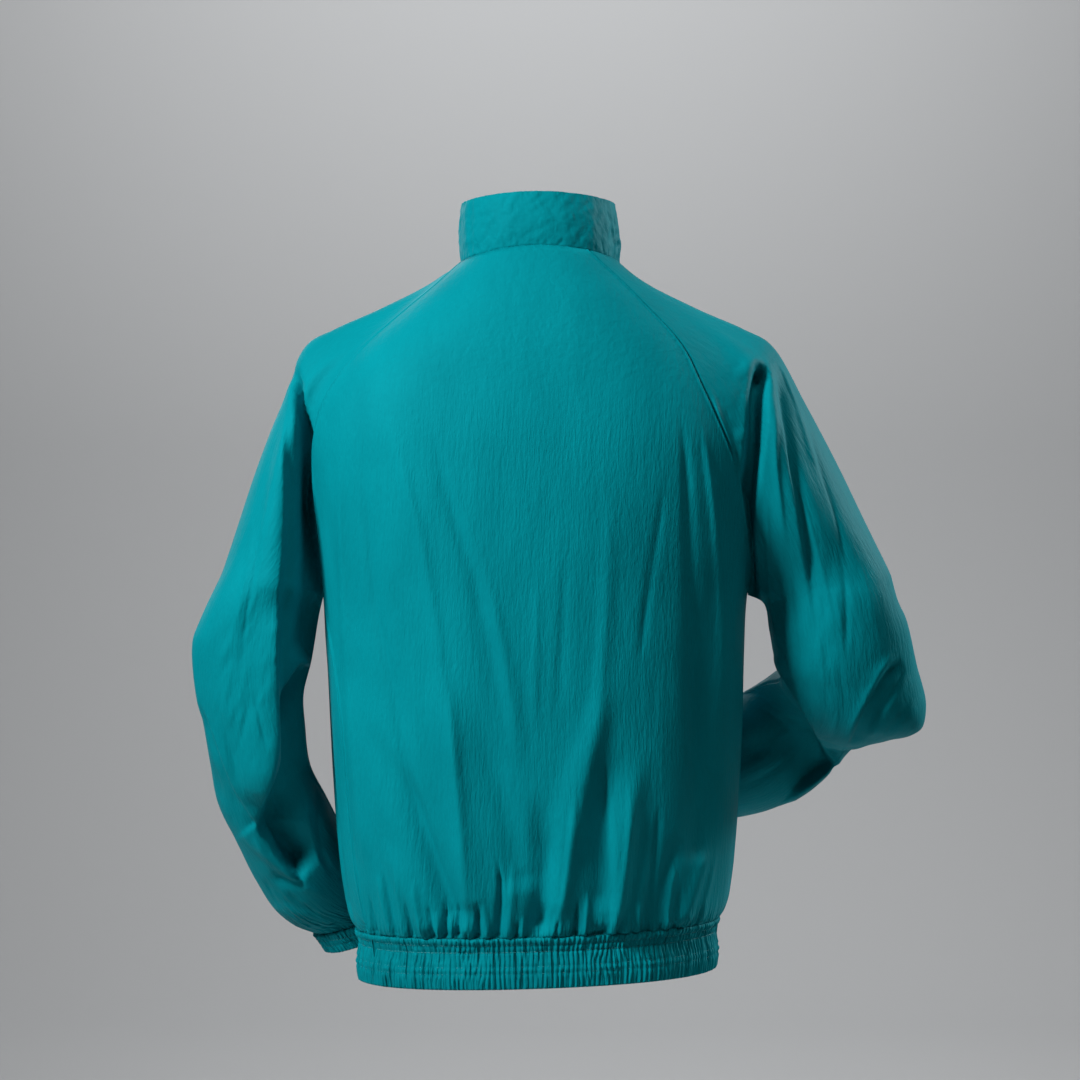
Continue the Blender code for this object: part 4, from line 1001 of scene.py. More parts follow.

# %% [markdown]
# A new mesh is filled with foreach_set, which takes whole arrays at once. Each piece then rides on its
# body, takes its material slot and hides the solid it replaces.

# %% Make a piece
def make_piece(name, points, faces, uv, material, body="jacket", replaced=()):
    """Mesh object from points in mm, a list of arrays of faces, and for each face corner a (u, v) in mm."""
    corners = np.concatenate([block.ravel() for block in faces])
    sizes = np.concatenate([np.full(len(block), block.shape[1]) for block in faces])
    used, corners = np.unique(corners, return_inverse=True)
    mesh = bpy.data.meshes.new(name)
    mesh.vertices.add(len(used))
    mesh.vertices.foreach_set("co", (points[used] * MM).astype(np.float32).ravel())
    mesh.loops.add(len(corners))
    mesh.loops.foreach_set("vertex_index", corners.astype(np.int32).ravel())
    mesh.polygons.add(len(sizes))
    starts = np.concatenate([[0], np.cumsum(sizes)[:-1]])
    mesh.polygons.foreach_set("loop_start", starts.astype(np.int32))
    mesh.uv_layers.new(name="cloth")
    mesh.uv_layers["cloth"].data.foreach_set("uv", (uv * MM).astype(np.float32).ravel())
    mesh.update()
    mesh.validate()
    mesh.shade_smooth()
    mesh.materials.append(material)
    piece = bpy.data.objects.new(name, mesh)
    bpy.context.collection.objects.link(piece)
    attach(piece, body)
    if replaced:
        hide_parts(*replaced)
    print(name, "triangles:", int((sizes - 2).sum()))
    return piece


def make_sewn(name, points, faces, corners, uv, material, turned, replaced):
    """Piece whose face corners take their (u, v) from a grid: corners number its points as faces number
    the piece's. turned: the faces point inwards and are turned over."""
    if turned:
        faces, corners = ([block[:, ::-1] for block in blocks] for blocks in (faces, corners))
    corner_uv = uv.reshape(-1, 2)[np.concatenate([block.ravel() for block in corners])]
    return make_piece(name, points, faces, corner_uv, material, replaced=replaced)


def make_parts(name, parts, material, replaced=()):
    """One piece from several (points, blocks of faces), with no map of its own."""
    points, faces, offset = [], [], 0
    for part_points, blocks in parts:
        points.append(part_points)
        faces += [block + offset for block in blocks]
        offset += len(part_points)
    no_map = np.zeros((sum(block.size for block in faces), 2))
    return make_piece(name, np.concatenate(points), faces, no_map, material, replaced=replaced)


# %% Walls of cloth
def add_cloth(name, outer, thick, material, uv, closed_rows=(), turned=False, slot="nylon"):
    """Closed wall of cloth over the solid of that name, from a grid of outer points and one of (u, v).
    turned: the grid's own normals point inwards. closed_rows: rows whose last point is their first one
    again."""
    count, width = outer.shape[:2]
    out = grid_normals(outer)
    closed = np.isin(np.arange(count), list(closed_rows))
    if closed.any():
        out[closed] = grid_normals(outer, True)[closed]
    inner = outer + out * (thick if turned else -thick)
    own = np.arange(count * width).reshape(count, width)
    front = own.copy()
    front[closed, -1] = front[closed, 0]
    back = front + count * width
    split = np.flatnonzero(~(closed[:-1] & closed[1:]))
    faces = [quads(front), quads(back)[:, ::-1],
             quads(np.stack([back[0], front[0]])), quads(np.stack([front[-1], back[-1]]))]
    corners = [quads(own), quads(own)[:, ::-1],
               quads(np.stack([own[0], own[0]])), quads(np.stack([own[-1], own[-1]]))]
    for first, second, edge in ((back, front, 0), (front, back, -1)):
        faces.append(quads(np.stack([first[:, edge], second[:, edge]], 1))[split])
        corners.append(quads(np.stack([own[:, edge], own[:, edge]], 1))[split])
    points = np.concatenate([outer.reshape(-1, 3), inner.reshape(-1, 3)])
    full_name = name + ("_weave" if slot == "zip_tape" else "_cloth")
    return make_sewn(full_name, points, faces, corners, uv, material, turned, [name])


# %% [markdown]
# ## Back and fronts
#
# The back is one piece between the raglan seams, and the two fronts end at the zip. At a seam the
# allowances are pressed to one side, so one edge stands up as a soft welt beside the dip of the seam.
# The columns of the grid are packed closely at a seam, where the welt is only a few millimetres wide.

# %% Seams and edges
EDGE_FINE = 7                       # columns that stand close together at an edge
WELT_HIGH, WELT_AT, WELT_WIDE = 0.85, 1.9, 1.3      # of a pressed seam, in mm
TURNED_DEEP, TURNED_WIDE = 1.1, 0.8


def fine_edges(count, edge_step):
    """Shares from 0 to 1: EDGE_FINE steps of edge_step at both ends and even ones between."""
    ends = np.arange(EDGE_FINE) * edge_step
    inner_end = EDGE_FINE * edge_step
    middle = np.linspace(inner_end, 1 - inner_end, count + 1 - 2 * EDGE_FINE)
    return np.concatenate([ends, middle, 1 - ends[::-1]])


def seam_relief(off):
    """Edge that lies over, off mm from the seam: a narrow welt, a bell e^(-x^2) round WELT_AT, and at the
    seam itself, a bell round 0, it turns under."""
    welt = WELT_HIGH * np.exp(-((off - WELT_AT) / WELT_WIDE) ** 2)
    return welt - TURNED_DEEP * np.exp(-(off / TURNED_WIDE) ** 2)


print("height of a welt in mm:", round(float(seam_relief(np.linspace(0, 6, 61)).max()), 2))

# %% Relief of the body
NO_SEAM = 1e3       # further off than any seam, in mm
BACK_GATHERS = [(150, 5, 0.9, 13)]                              # how many, seed, depth and length
FRONT_GATHERS = [(84, 4, 3.0, 34), (37, 9, 3.4, 80)]
SHALLOW = 0.45                                                  # size of the shallow creases
YOKE_CALM_FROM, YOKE_CALM_OVER, YOKE_CALM_LEAST = -120, 120, 0.25      # the creases grow shallow up there


def body_grid(z, angle, at_zip, seed):
    """Outer points and (u, v) of a body panel. at_zip: -1 where its first edge is the zip's, 1 its last."""
    base = body_ring(z, angle)
    out = -grid_normals(base)
    reach = lengths(base, 1)
    width = reach[:, -1:]
    middle = 0.0 if at_zip == 0 else 180.0 * at_zip
    grain = reach - np.array([np.interp(middle, a, r) for a, r in zip(angle, reach)])[:, None]
    around = angle / 360
    height = body_folds(z, angle)
    if at_zip == 0:
        height = height + relief_in_view(seen(base), BACK_CREASES)
    for numbers in BACK_GATHERS if at_zip == 0 else FRONT_GATHERS:
        height = height + gathers(z - HEM, around, *numbers)
    below_yoke = ease((YOKE_CALM_FROM - z) / YOKE_CALM_OVER)
    smooth_yoke = YOKE_CALM_LEAST + (1 - YOKE_CALM_LEAST) * below_yoke
    height = height + creases(grain, z, seed, SHALLOW) * smooth_yoke
    from_first = np.where(at_zip < 0, NO_SEAM, reach)
    from_last = np.where(at_zip > 0, NO_SEAM, width - reach)
    seams = np.minimum(from_first, from_last)
    from_zip = reach if at_zip < 0 else width - reach if at_zip > 0 else NO_SEAM + 0 * reach
    calm = ease(seams / 8) * ease((from_zip - 7) / 20) * ease((NECK - z) / 16)
    height = height * calm * ease((z - HEM + 1.5) / 4)
    height = height + seam_relief(seams) + 0.5 * np.exp(-((from_zip - 2.6) / 1.8) ** 2)
    height = height - 1.2 * np.exp(-((z - HEM) / 4.0) ** 2) - 0.3 * np.exp(-((NECK - z) / 0.9) ** 2)
    return base + out * height[..., None], np.stack([grain, lengths(base, 0)], -1)


print("gathers round the hem:", BACK_GATHERS[0][0], "behind,", sum(row[0] for row in FRONT_GATHERS), "in front")

# %% Back and fronts
CLOTH_THICK = 1.1       # of a panel and its seam allowances, in mm
PANEL_GAP = 0.12        # between two panels at their seam
BODY_ROWS = 160
EDGE_STEP = 0.7         # between two columns at an edge
BACK_COLUMNS, FRONT_COLUMNS = (288, 420), (84, 210)     # how many, and the rough width of the panel


def moved_in(seam, side, turn):
    """Seam angle moved into its panel by PANEL_GAP."""
    def at(z):
        return seam(z, side) + turn * np.degrees(PANEL_GAP / half_width(z))
    return at


def zip_edge(side):
    """Angle of a front's edge beside the zip, as a function of height."""
    return lambda z: front_edge(z, side, FRONT_EDGE)


def rows_up(count):
    """Shares from 0 to 1 that stand closer near the hem, where the gathers are."""
    share = np.linspace(0, 1, count + 1)
    return 0.55 * share + 0.45 * share ** 2 + 0.12 * share * (1 - share) * share


def add_panel(name, first, last, at_zip, columns, seed):
    """Body panel between two angle curves first(z) and last(z)."""
    count, width = columns
    z = HEM + PANEL_GAP + (NECK - HEM - PANEL_GAP) * rows_up(BODY_ROWS)
    a, b = first(z)[:, None], last(z)[:, None]
    angle = a + (b - a) * fine_edges(count, EDGE_STEP / width)
    points, uv = body_grid(z[:, None], angle, at_zip, seed)
    return add_cloth(name, points, CLOTH_THICK, nylon, uv, turned=True)


back_right, back_left = moved_in(back_seam, -1, 1), moved_in(back_seam, 1, -1)
front_right, front_left = moved_in(front_seam, -1, -1), moved_in(front_seam, 1, 1)
back_cloth = add_panel("back", back_right, back_left, 0, BACK_COLUMNS, 21)
left_front = add_panel("front_left", front_left, zip_edge(1), 1, FRONT_COLUMNS, 31)
right_front = add_panel("front_right", zip_edge(-1), front_right, -1, FRONT_COLUMNS, 41)

# %% [markdown]
# ## Sleeves
#
# A raglan sleeve runs up to the collar in one piece. Below the underarm it is a closed ring, and above
# it the ring opens, so the grid's first and last columns are one column in the lower rows and part
# company at the underarm. The creases that were noted from the view don't rise along the cloth's own
# normal but lean towards the eye, because a crease on cloth that turns away would else move sideways,
# out of its place. No crease goes deeper than the room that the sleeve has behind it.

# %% Relief of the sleeves
TOWARDS_EYE = np.array([0.0, 2.0, 0.0])     # pull of the noted creases away from the cloth's own normal
TURN_STEP = 0.004                           # between two places whose difference gives a direction
SLEEVE_ROOM = 0.42                          # of the sleeve's own depth, the deepest that a crease may be


def sleeve_grid(level, turn, side, seed):
    """Outer points and (u, v) of a sleeve: rings, folds, gathers over the cuff, creases, pressed edges."""
    base = sleeve_base(level, turn, side)
    inside = np.clip(turn, TURN_STEP, 1 - TURN_STEP)
    up, down = (sleeve_base(level + step, inside, side) for step in (TURN_STEP, -TURN_STEP))
    on, back = (sleeve_base(level, inside + step, side) for step in (TURN_STEP, -TURN_STEP))
    out = unit(side * np.cross(up - down, on - back))
    along, girth = lengths(base, 0), lengths(base, 1)
    full = girth[:, -1:]
    from_cuff = along[:, along.shape[1] // 2][:, None] + 0 * turn
    seams = np.minimum(girth, full - girth)
    ends = ease((level + 1) / 0.05) * ease(from_cuff / 6 + 0.2)
    place = seen(base)
    in_view = relief_in_view(place, of_side(side, LEFT_CREASES, RIGHT_CREASES))
    in_view = in_view + wrinkles_in_view(place, of_side(side, LEFT_WRINKLES, RIGHT_WRINKLES))
    room = SLEEVE_ROOM * np.linalg.norm(base - sleeve_base(level, 1 - turn, side), axis=-1) + 0.01
    in_view = np.where(in_view < 0, room * np.tanh(in_view / room), in_view) * ease((turn - 0.5) / 0.02)
    in_view = in_view * ease(seams / 3.5) * ends
    height = sleeve_folds(level, turn, side)
    height = height + gathers(from_cuff, turn, 26, 14 + side, 2.6, 32)
    height = height + creases(girth - full / 2, from_cuff, seed, 0.4)
    height = height * ease(seams / 11) * ends
    beside_arm = ease((np.abs(level + 0.05) - 0.24) / 0.10)     # the seam is shallower near the underarm
    height = height - (0.4 + 2.0 * beside_arm) * np.exp(-(seams / 1.4) ** 2)
    height = height + corners_in_view(place, of_side(side, LEFT_CORNERS, RIGHT_CORNERS)) * ends
    height = height - 1.0 * np.exp(-(from_cuff / 1.6) ** 2)
    points = base + out * height[..., None] + unit(out + TOWARDS_EYE) * in_view[..., None]
    return points, np.stack([girth - full / 2, from_cuff], -1)


print("a crease leans towards the eye by", TOWARDS_EYE[1], "to 1")

# %% Sleeves
SLEEVE_TUBE_ROWS, SLEEVE_CAP_ROWS, SLEEVE_COLUMNS = 128, 76, 164
ELBOW_LEVELS, ELBOW_ROWS = (0.16, 0.62), (0.16, 0.80)     # where the rows stand closer, and which rows
UNDERARM_LEVEL, CUFF_GAP = 0.004, 0.0004    # levels between underarm, first ring, last ring and cuff
SLEEVE_EDGE_STEP, SLEEVE_TRIM = 0.0024, 0.0006      # in turns
HIDDEN_SHARE = 0.34       # of the columns, on the half that faces forwards


def add_sleeve(side):
    share = np.linspace(1, 0, SLEEVE_TUBE_ROWS + 1)
    levels = UNDERARM_LEVEL, *ELBOW_LEVELS, cuff_start(side) - CUFF_GAP
    tube = np.interp(share, (0, *ELBOW_ROWS, 1), levels)
    t = np.linspace(0, 1, SLEEVE_CAP_ROWS + 1)[1:]
    level = np.concatenate([tube, -(1 - (1 - t) ** 1.35)])[:, None]
    trim = np.where(level < 0, SLEEVE_TRIM, 0.0)
    spread = np.interp(fine_edges(SLEEVE_COLUMNS, SLEEVE_EDGE_STEP), [0, HIDDEN_SHARE, 1], [0, 0.5, 1])
    turn = trim + (1 - 2 * trim) * spread
    points, uv = sleeve_grid(level, turn, side, 51 + side)
    closed = range(len(tube))
    points[closed, -1] = points[closed, 0]
    name = "sleeve_" + of_side(side, "left", "right")
    return add_cloth(name, points, CLOTH_THICK, nylon, uv, closed, turned=side < 0)


left_sleeve = add_sleeve(1)
right_sleeve = add_sleeve(-1)

# %% [markdown]
# ## Bands on elastic
#
# Hem band and cuffs are cloth folded over elastic and sewn down in double rows while the elastic was
# stretched. Let go, the elastic pulls the cloth into ripples that stand close together, pinched where
# the rows cross them, each strip between two rows with ripples of its own. The section of a band is a
# loop: down the outer face, round the fold and up the inner face.

# %% Ruched relief
BAND_THICK = 2.2
RIPPLE_LONG = 4.3         # from ripple to ripple, in mm round the band
RIPPLE_HIGH = 2.0
CALM_INSIDE = 0.8         # how much calmer the inner face is
HEM_ROUND, HEM_HALF_WIDE = 980.0, 175


def ruching(down, around, rows_down, seed):
    """Ruched cloth: down from 0 at the seam to 1 at the fold, around in mm. Ridges |sin(pi x)|^0.7 with a
    place x that wanders, pinched where rows_down cross them, on a strip that is puffed between rows."""
    wander = lattice_noise(around, down, 26, 0.30, seed) * 0.55
    wander = wander + lattice_noise(around, down, 9, 0.22, seed + 1) * 0.22
    ridge = np.abs(np.sin(np.pi * (around / RIPPLE_LONG + wander))) ** 0.7
    tall = 0.75 + 0.5 * lattice_noise(around, down, 6, 0.3, seed + 2)
    pinch, channel = 1.0, 0.0
    for row in rows_down:
        pinch = pinch - 0.45 * np.exp(-((down - row) / 0.024) ** 2)
        channel = channel + np.exp(-((down - row) / 0.020) ** 2)
    ends = ease(down / 0.05 + 0.15) * ease((1 - down) / 0.05 + 0.35)
    return (RIPPLE_HIGH * ridge * tall * pinch - 0.5 * channel) * ends - 0.5 * np.exp(-(down / 0.03) ** 2)


print("ripples round the hem:", int(HEM_ROUND / RIPPLE_LONG))

# %% Folded bands
END_ANGLE = np.radians(75)       # a piece's ends stay crisp, its ripples smooth


def loop_section(rows_out, rows_in, fold, first=0.0, last=0.0, steps=5):
    """Section of folded cloth as columns of places from 0 to 1 and of depths: the outer face from first
    on, a half round of some steps that takes a share fold of the height, and the inner face to last."""
    outer = np.linspace(first, 1 - fold, rows_out)
    turn = np.linspace(0, np.pi, steps + 2)[1:-1]
    inner = np.linspace(1 - fold, last, rows_in)
    place = np.concatenate([outer, 1 - fold + fold * np.sin(turn), inner])
    deep = np.concatenate([0 * outer, (1 - np.cos(turn)) / 2, 0 * inner + 1])
    return place[:, None], deep[:, None]


def add_loop(name, points, material, uv, ring, turned=False):
    """Cloth over the solid of that name, from a grid whose rows run round a closed section. ring: the
    columns close as well, else the two ends are closed by cells between the section's two halves."""
    count, width = points.shape[:2]
    own = np.arange(count * width).reshape(count, width)
    number = own.copy()
    if ring:
        number[:, -1] = number[:, 0]
    rows_of_faces = np.concatenate([number, number[:1]])
    rows_of_uv = np.concatenate([own, own[:1]])
    faces, corners = [quads(rows_of_faces)], [quads(rows_of_uv)]
    if not ring:
        half = count // 2
        for edge, way in ((0, -1), (-1, 1)):
            cap = quads(np.stack([number[:half, edge], number[::-1, edge][:half]], 1))[:, ::way]
            faces.append(cap)
            corners.append(cap)
    points = points.reshape(-1, 3)
    piece = make_sewn(name + "_cloth", points, faces, corners, uv, material, turned, [name])
    if not ring:
        piece.data.set_sharp_from_angle(angle=END_ANGLE)
    return piece


print("rows round a section of 30 and 5:", len(loop_section(30, 5, 0.02)[0]))

# %% Hem band
STITCH_ROWS = (0.13, 0.27, 0.555, 0.69)     # where the elastic is sewn through, down from the seam
BAND_OUT_ROWS, BAND_IN_ROWS, BAND_FOLD = 30, 5, 0.023
BAND_HIGH, BAND_HIGH_INSIDE = 48, 50
RIPPLE_COLUMNS = 8                          # of a ripple


def band_point(down, angle, deep=0.0, lift=0.0):
    """Point of the hem band: body ring, ruched outside, calmer inside; lift: mm above the outer face."""
    z = HEM - PANEL_GAP - down * (HEM - PANEL_GAP - HEM_END)
    base = body_ring(z, angle)
    side = body_ring(z, angle + 0.5) - body_ring(z, angle - 0.5)
    rise = body_ring(z + 1, angle) - body_ring(z - 1, angle)
    out = -unit(np.cross(side, rise))
    height = ruching(down, angle / 360 * HEM_ROUND, STITCH_ROWS, 61)
    return base + out * (height * (1 - CALM_INSIDE * deep) - deep * BAND_THICK + lift)[..., None]


def add_band(name, first, last):
    """Piece of the hem band between two angles."""
    columns = int(abs(last - first) / 360 * HEM_ROUND / RIPPLE_LONG * RIPPLE_COLUMNS)
    angle = np.linspace(first, last, columns + 1)[None, :]
    section = loop_section(BAND_OUT_ROWS, BAND_IN_ROWS, BAND_FOLD)
    down, deep, angle = np.broadcast_arrays(*section, angle)
    points = band_point(down, angle, deep)
    uv = np.stack([angle / 360 * HEM_ROUND, -down * BAND_HIGH - deep * BAND_HIGH_INSIDE], -1)
    return add_loop(name, points, ruched_nylon, uv, False)


band_gap = np.degrees(PANEL_GAP / HEM_HALF_WIDE)
left_side, right_side = float(back_seam(HEM, 1)), float(back_seam(HEM, -1))
zip_angle = float(front_edge(HEM, 1, FRONT_EDGE))
band_back = add_band("hem_band_back", right_side + band_gap, left_side - band_gap)
band_left = add_band("hem_band_left", left_side + band_gap, zip_angle)
band_right = add_band("hem_band_right", -zip_angle, right_side - band_gap)

# %% Cuffs
CUFF_STITCH_ROWS = (0.34, 0.62)
CUFF_RIPPLES, CUFF_COLUMNS = 52, 400
CUFF_OUT_ROWS, CUFF_IN_ROWS, CUFF_FOLD = 18, 5, 0.06
CUFF_ROUND, CUFF_HIGH, CUFF_HIGH_INSIDE = 224, 22, 24
LAST_RIPPLES = 0.96       # turn from which the ripples run over into the first one


def cuff_point(down, turn, side, deep=0.0, lift=0.0):
    """Point of a cuff: sleeve ring, ruched outside, calmer inside; lift: mm above the outer face."""
    start = cuff_start(side) + CUFF_GAP
    level = start + down * (1 - start)
    base = sleeve_ring(level, turn, side)
    low, high = np.clip(level - TURN_STEP, 0, 1), np.clip(level + TURN_STEP, 0, 1)
    along_level = sleeve_ring(high, turn, side) - sleeve_ring(low, turn, side)
    along_turn = sleeve_ring(level, turn + TURN_STEP, side) - sleeve_ring(level, turn - TURN_STEP, side)
    out = unit(side * np.cross(along_level, along_turn))
    place = np.where(turn >= 1, turn - 1, turn) * (CUFF_RIPPLES * RIPPLE_LONG)
    height = ruching(down, place, CUFF_STITCH_ROWS, 71 + side)
    blend = ease((turn - LAST_RIPPLES) / (1 - LAST_RIPPLES))
    height = height * (1 - blend) + blend * ruching(down, place * 0, CUFF_STITCH_ROWS, 71 + side)
    return base + out * (height * (1 - CALM_INSIDE * deep) - deep * BAND_THICK + lift)[..., None]


def add_cuff(side):
    section = loop_section(CUFF_OUT_ROWS, CUFF_IN_ROWS, CUFF_FOLD)
    down, deep, turn = np.broadcast_arrays(*section, np.linspace(0, 1, CUFF_COLUMNS + 1))
    points = cuff_point(down, turn, side, deep)
    points[:, -1] = points[:, 0]
    uv = np.stack([turn * CUFF_ROUND, -down * CUFF_HIGH - deep * CUFF_HIGH_INSIDE], -1)
    return add_loop("cuff_" + of_side(side, "left", "right"), points, ruched_nylon, uv, True, turned=side > 0)


left_cuff = add_cuff(1)
right_cuff = add_cuff(-1)

# %% [markdown]
# ## Collar
#
# The stand collar is one strip of cloth folded over at the top, so it has no seam there, only a soft
# roll. It is sewn to the neckline a little stretched, which leaves short puckers along that seam.

# %% Form of the collar
COLLAR_THICK, COLLAR_HIGH = 1.6, 54
COLLAR_PER_DEGREE = 1.33                            # mm round the collar
TOP_MIDDLE, TOP_HALF = 2, 74.5                      # of the top edge, from side to side
TOP_BACK, TOP_FRONT = 66, 70                        # its depth
TOP_SIDE_Z, TOP_BACK_RISE, TOP_FRONT_DROP = 56, 6, 34
COLLAR_FULL = 2.0


def collar_face(height, angle):
    """Collar: from the neckline (height 0) to its top edge (1), a little full in the middle."""
    height, angle = np.broadcast_arrays(np.asarray(height, float), np.asarray(angle, float))
    low = body_ring(NECK, angle)
    a = np.radians(angle)
    c, s = np.cos(a), np.sin(a)
    top_z = TOP_SIDE_Z + np.where(c > 0, TOP_BACK_RISE, -TOP_FRONT_DROP) * c * c
    top = np.stack([TOP_MIDDLE + TOP_HALF * s, np.where(c > 0, TOP_BACK, TOP_FRONT) * c, top_z], -1)
    full = COLLAR_FULL * np.sin(np.pi * height)[..., None] * np.stack([s, c, 0 * s], -1)
    return low + (top - low) * height[..., None] + full


print("top of the collar at the back, in mm above the neckline:", float(collar_face(1.0, 0.0)[2]))

# %% Wrinkles of the collar
COLLAR_FOLDS = rows(
    "angle lean size wide",
    (-78, 5, -1.6, 2.2),
    (-72, -4, 1.2, 2.4),
    (-64, 7, -1.1, 2.6),
    (-40, -6, 0.7, 4.0),
    (-12, 8, -0.6, 5.0),
    (22, -7, 0.7, 4.5),
    (57, 5, -0.9, 3.2),
    (82, -5, -1.3, 2.6),
    (96, 4, 1.1, 3.0),
    (128, -6, -1.0, 4.0),
    (-104, 6, -1.2, 3.0),
    (-135, -5, 0.9, 4.0),
)
CRUMPLED_AT, CRUMPLED_WIDE = (-74, 0.30), (17, 0.42)      # angle and height of a crumpled patch


def collar_relief(height, angle):
    """Folds size e^(-((angle - line) / wide)^2), puckers over the seam, and tiny ones along the roll."""
    total = 0.0
    between = np.sin(np.pi * np.clip(height, 0, 1)) ** 0.7
    for fold in COLLAR_FOLDS:
        line = fold["angle"] + fold["lean"] * (height - 0.4)
        total = total + fold["size"] * np.exp(-((angle - line) / fold["wide"]) ** 2) * between
    around, up = angle * COLLAR_PER_DEGREE, height * COLLAR_HIGH
    total = total + gathers(up, angle / 360, 58, 81, 0.9, 13)
    total = total + gathers((1 - height) * COLLAR_HIGH, angle / 360, 104, 83, 0.45, 6)
    total = total + creases(around, up, 85, 0.42)
    total = total + 0.42 * lattice_noise(around + 0.6 * up, up, 6.5, 8, 86)
    total = total + 0.26 * lattice_noise(around - 0.5 * up, up, 3.6, 5, 87)
    crumple = 1.5 * lattice_noise(around + 0.9 * up, up, 5.5, 15, 88)
    crumple = crumple + 0.6 * lattice_noise(around, up, 3.4, 6, 89)
    off_angle = (angle - CRUMPLED_AT[0]) / CRUMPLED_WIDE[0]
    off_height = (height - CRUMPLED_AT[1]) / CRUMPLED_WIDE[1]
    total = total + crumple * np.exp(-(off_angle ** 2 + off_height ** 2) ** 2)
    ends = ease((172 - np.abs(angle)) / 8)
    return total * ends - 0.25 * np.exp(-(up / 0.9) ** 2)


print("folds of the collar:", len(COLLAR_FOLDS))

# %% Collar
COLLAR_OUT_ROWS, COLLAR_IN_ROWS, COLLAR_COLUMNS = 46, 16, 380
COLLAR_FOLD = 0.8 / COLLAR_HIGH
COLLAR_FROM, COLLAR_TUCKED = 0.004, -0.06       # where the outer face begins and the inner one ends
COLLAR_HIGH_INSIDE = 60
INSIDE_CALM = 0.3                               # how much calmer the inner face is


def add_collar():
    edge = float(front_edge(NECK, 1, FRONT_EDGE))
    section = loop_section(COLLAR_OUT_ROWS, COLLAR_IN_ROWS, COLLAR_FOLD, COLLAR_FROM, COLLAR_TUCKED, 7)
    height, deep, angle = np.broadcast_arrays(*section, np.linspace(-edge, edge, COLLAR_COLUMNS + 1))
    base = collar_face(height, angle)
    side = collar_face(height, angle + 0.5) - collar_face(height, angle - 0.5)
    rise = collar_face(height + 0.02, angle) - collar_face(height - 0.02, angle)
    out = unit(np.cross(rise, side))
    relief = collar_relief(height, angle) * (1 - INSIDE_CALM * deep)
    allowance = 0.9 * ease(-height / 0.03)
    points = base + out * (relief - deep * COLLAR_THICK - allowance)[..., None]
    uv = np.stack([angle * COLLAR_PER_DEGREE, height * COLLAR_HIGH + deep * COLLAR_HIGH_INSIDE], -1)
    return add_loop("collar", points, nylon, uv, False, turned=True)


collar_cloth = add_collar()

# %% [markdown]
# ## Stitches
#
# A stitch is a short piece of thread that goes down into the cloth at both ends. One small capsule is
# placed at each stitch, turned along the row and lifted half its thickness off the cloth, so that it
# follows every ripple. A bump texture could hint at stitches, but it can't stand off the cloth.

# %% Thread
def bands(place, direction, repeats):
    """Bands across a place, so many to a metre as repeats gives."""
    settings = {"wave_type": "BANDS", "bands_direction": direction}
    return place.node("ShaderNodeTexWave", settings, {"Vector": place, "Scale": repeats})


thread, thread_shader, ask = begin_material("thread", 0.5, Sheen_Weight=0.15)
twist = bands(ask.node("ShaderNodeTexCoord", output="Object"), "DIAGONAL", 1400.0)
feed(thread_shader, "Base Color", ramp(twist, (0.0, (0.012, 0.26, 0.29)), (1.0, (0.030, 0.36, 0.40))))
print("thread:", len(thread.node_tree.nodes), "nodes")

# %% A stitch and its copies
CAPSULE_SIDES = 6
CAPSULE_RINGS = ((-0.47, 0.62), (-0.36, 1.0), (0.36, 1.0), (0.47, 0.62))        # place and radius


def capsule():
    """Capsule along x from -0.5 to 0.5 with radius 1 in y and z: rings at given places, closed by poles."""
    sides, count = CAPSULE_SIDES, len(CAPSULE_RINGS)
    turn = np.arange(sides) / sides * 2 * np.pi
    round_points = np.stack([np.cos(turn), np.sin(turn)], -1)
    points = [np.column_stack([np.full(sides, x), round_points * r]) for x, r in CAPSULE_RINGS]
    points = np.concatenate(points + [np.array([[-0.5, 0, 0], [0.5, 0, 0]])])
    number = np.arange(count * sides).reshape(count, sides)
    number = np.concatenate([number, number[:, :1]], 1)
    first = np.stack([number[0, :-1], number[0, 1:], np.full(sides, count * sides)], -1)
    last = np.stack([number[-1, 1:], number[-1, :-1], np.full(sides, count * sides + 1)], -1)
    return points, [quads(number)[:, ::-1], first[:, ::-1], last[:, ::-1]]


def repeat(shape, places, axes, sizes):
    """Copies of a shape at places (n, 3), along axes (n, 3, 3) whose rows are its x, y, z, times sizes."""
    points, faces = shape
    scaled = points[None] * sizes[:, None, :]
    moved = np.einsum("nij,njk->nik", scaled, axes) + places[:, None, :]
    step = np.arange(len(places)) * len(points)
    blocks = [(block[None] + step[:, None, None]).reshape(-1, block.shape[1]) for block in faces]
    return moved.reshape(-1, 3), blocks


def stitch_frames(starts, ends, out):
    """Middles, axes and sizes of stitches from starts to ends, with out pointing off the cloth."""
    along = ends - starts
    long = np.linalg.norm(along, axis=-1)
    x = along / long[:, None]
    z = unit(out - x * np.sum(out * x, -1)[:, None])
    y = np.cross(z, x)
    return (starts + ends) / 2, np.stack([x, y, z], 1), long


print("faces of a stitch:", sum(len(block) for block in capsule()[1]))

# %% Rows of stitches
THREAD = 0.24             # half the thickness of a stitch, in mm
STITCH, STITCH_GAP = 2.7, 0.75
OFF_CLOTH = 0.1           # how far a stitch is lifted


def row_of_stitches(line, lift_line, length):
    """Stitches along line(share), share from 0 to 1 over length mm; lift_line(share) is a point 1 mm off."""
    count = int(length / (STITCH + STITCH_GAP))
    first = (np.arange(count) + 0.5 * STITCH_GAP / (STITCH + STITCH_GAP)) / count
    last = first + STITCH / (STITCH + STITCH_GAP) / count
    out = unit(lift_line((first + last) / 2) - line((first + last) / 2))
    middle, axes, long = stitch_frames(line(first), line(last), out)
    sizes = np.stack([long, np.full(count, THREAD), np.full(count, THREAD)], -1)
    return repeat(capsule(), middle, axes, sizes)


ROW_END = 0.4             # degrees from the end of a band's piece to its first stitch
CUFF_ROW_LONG = 190


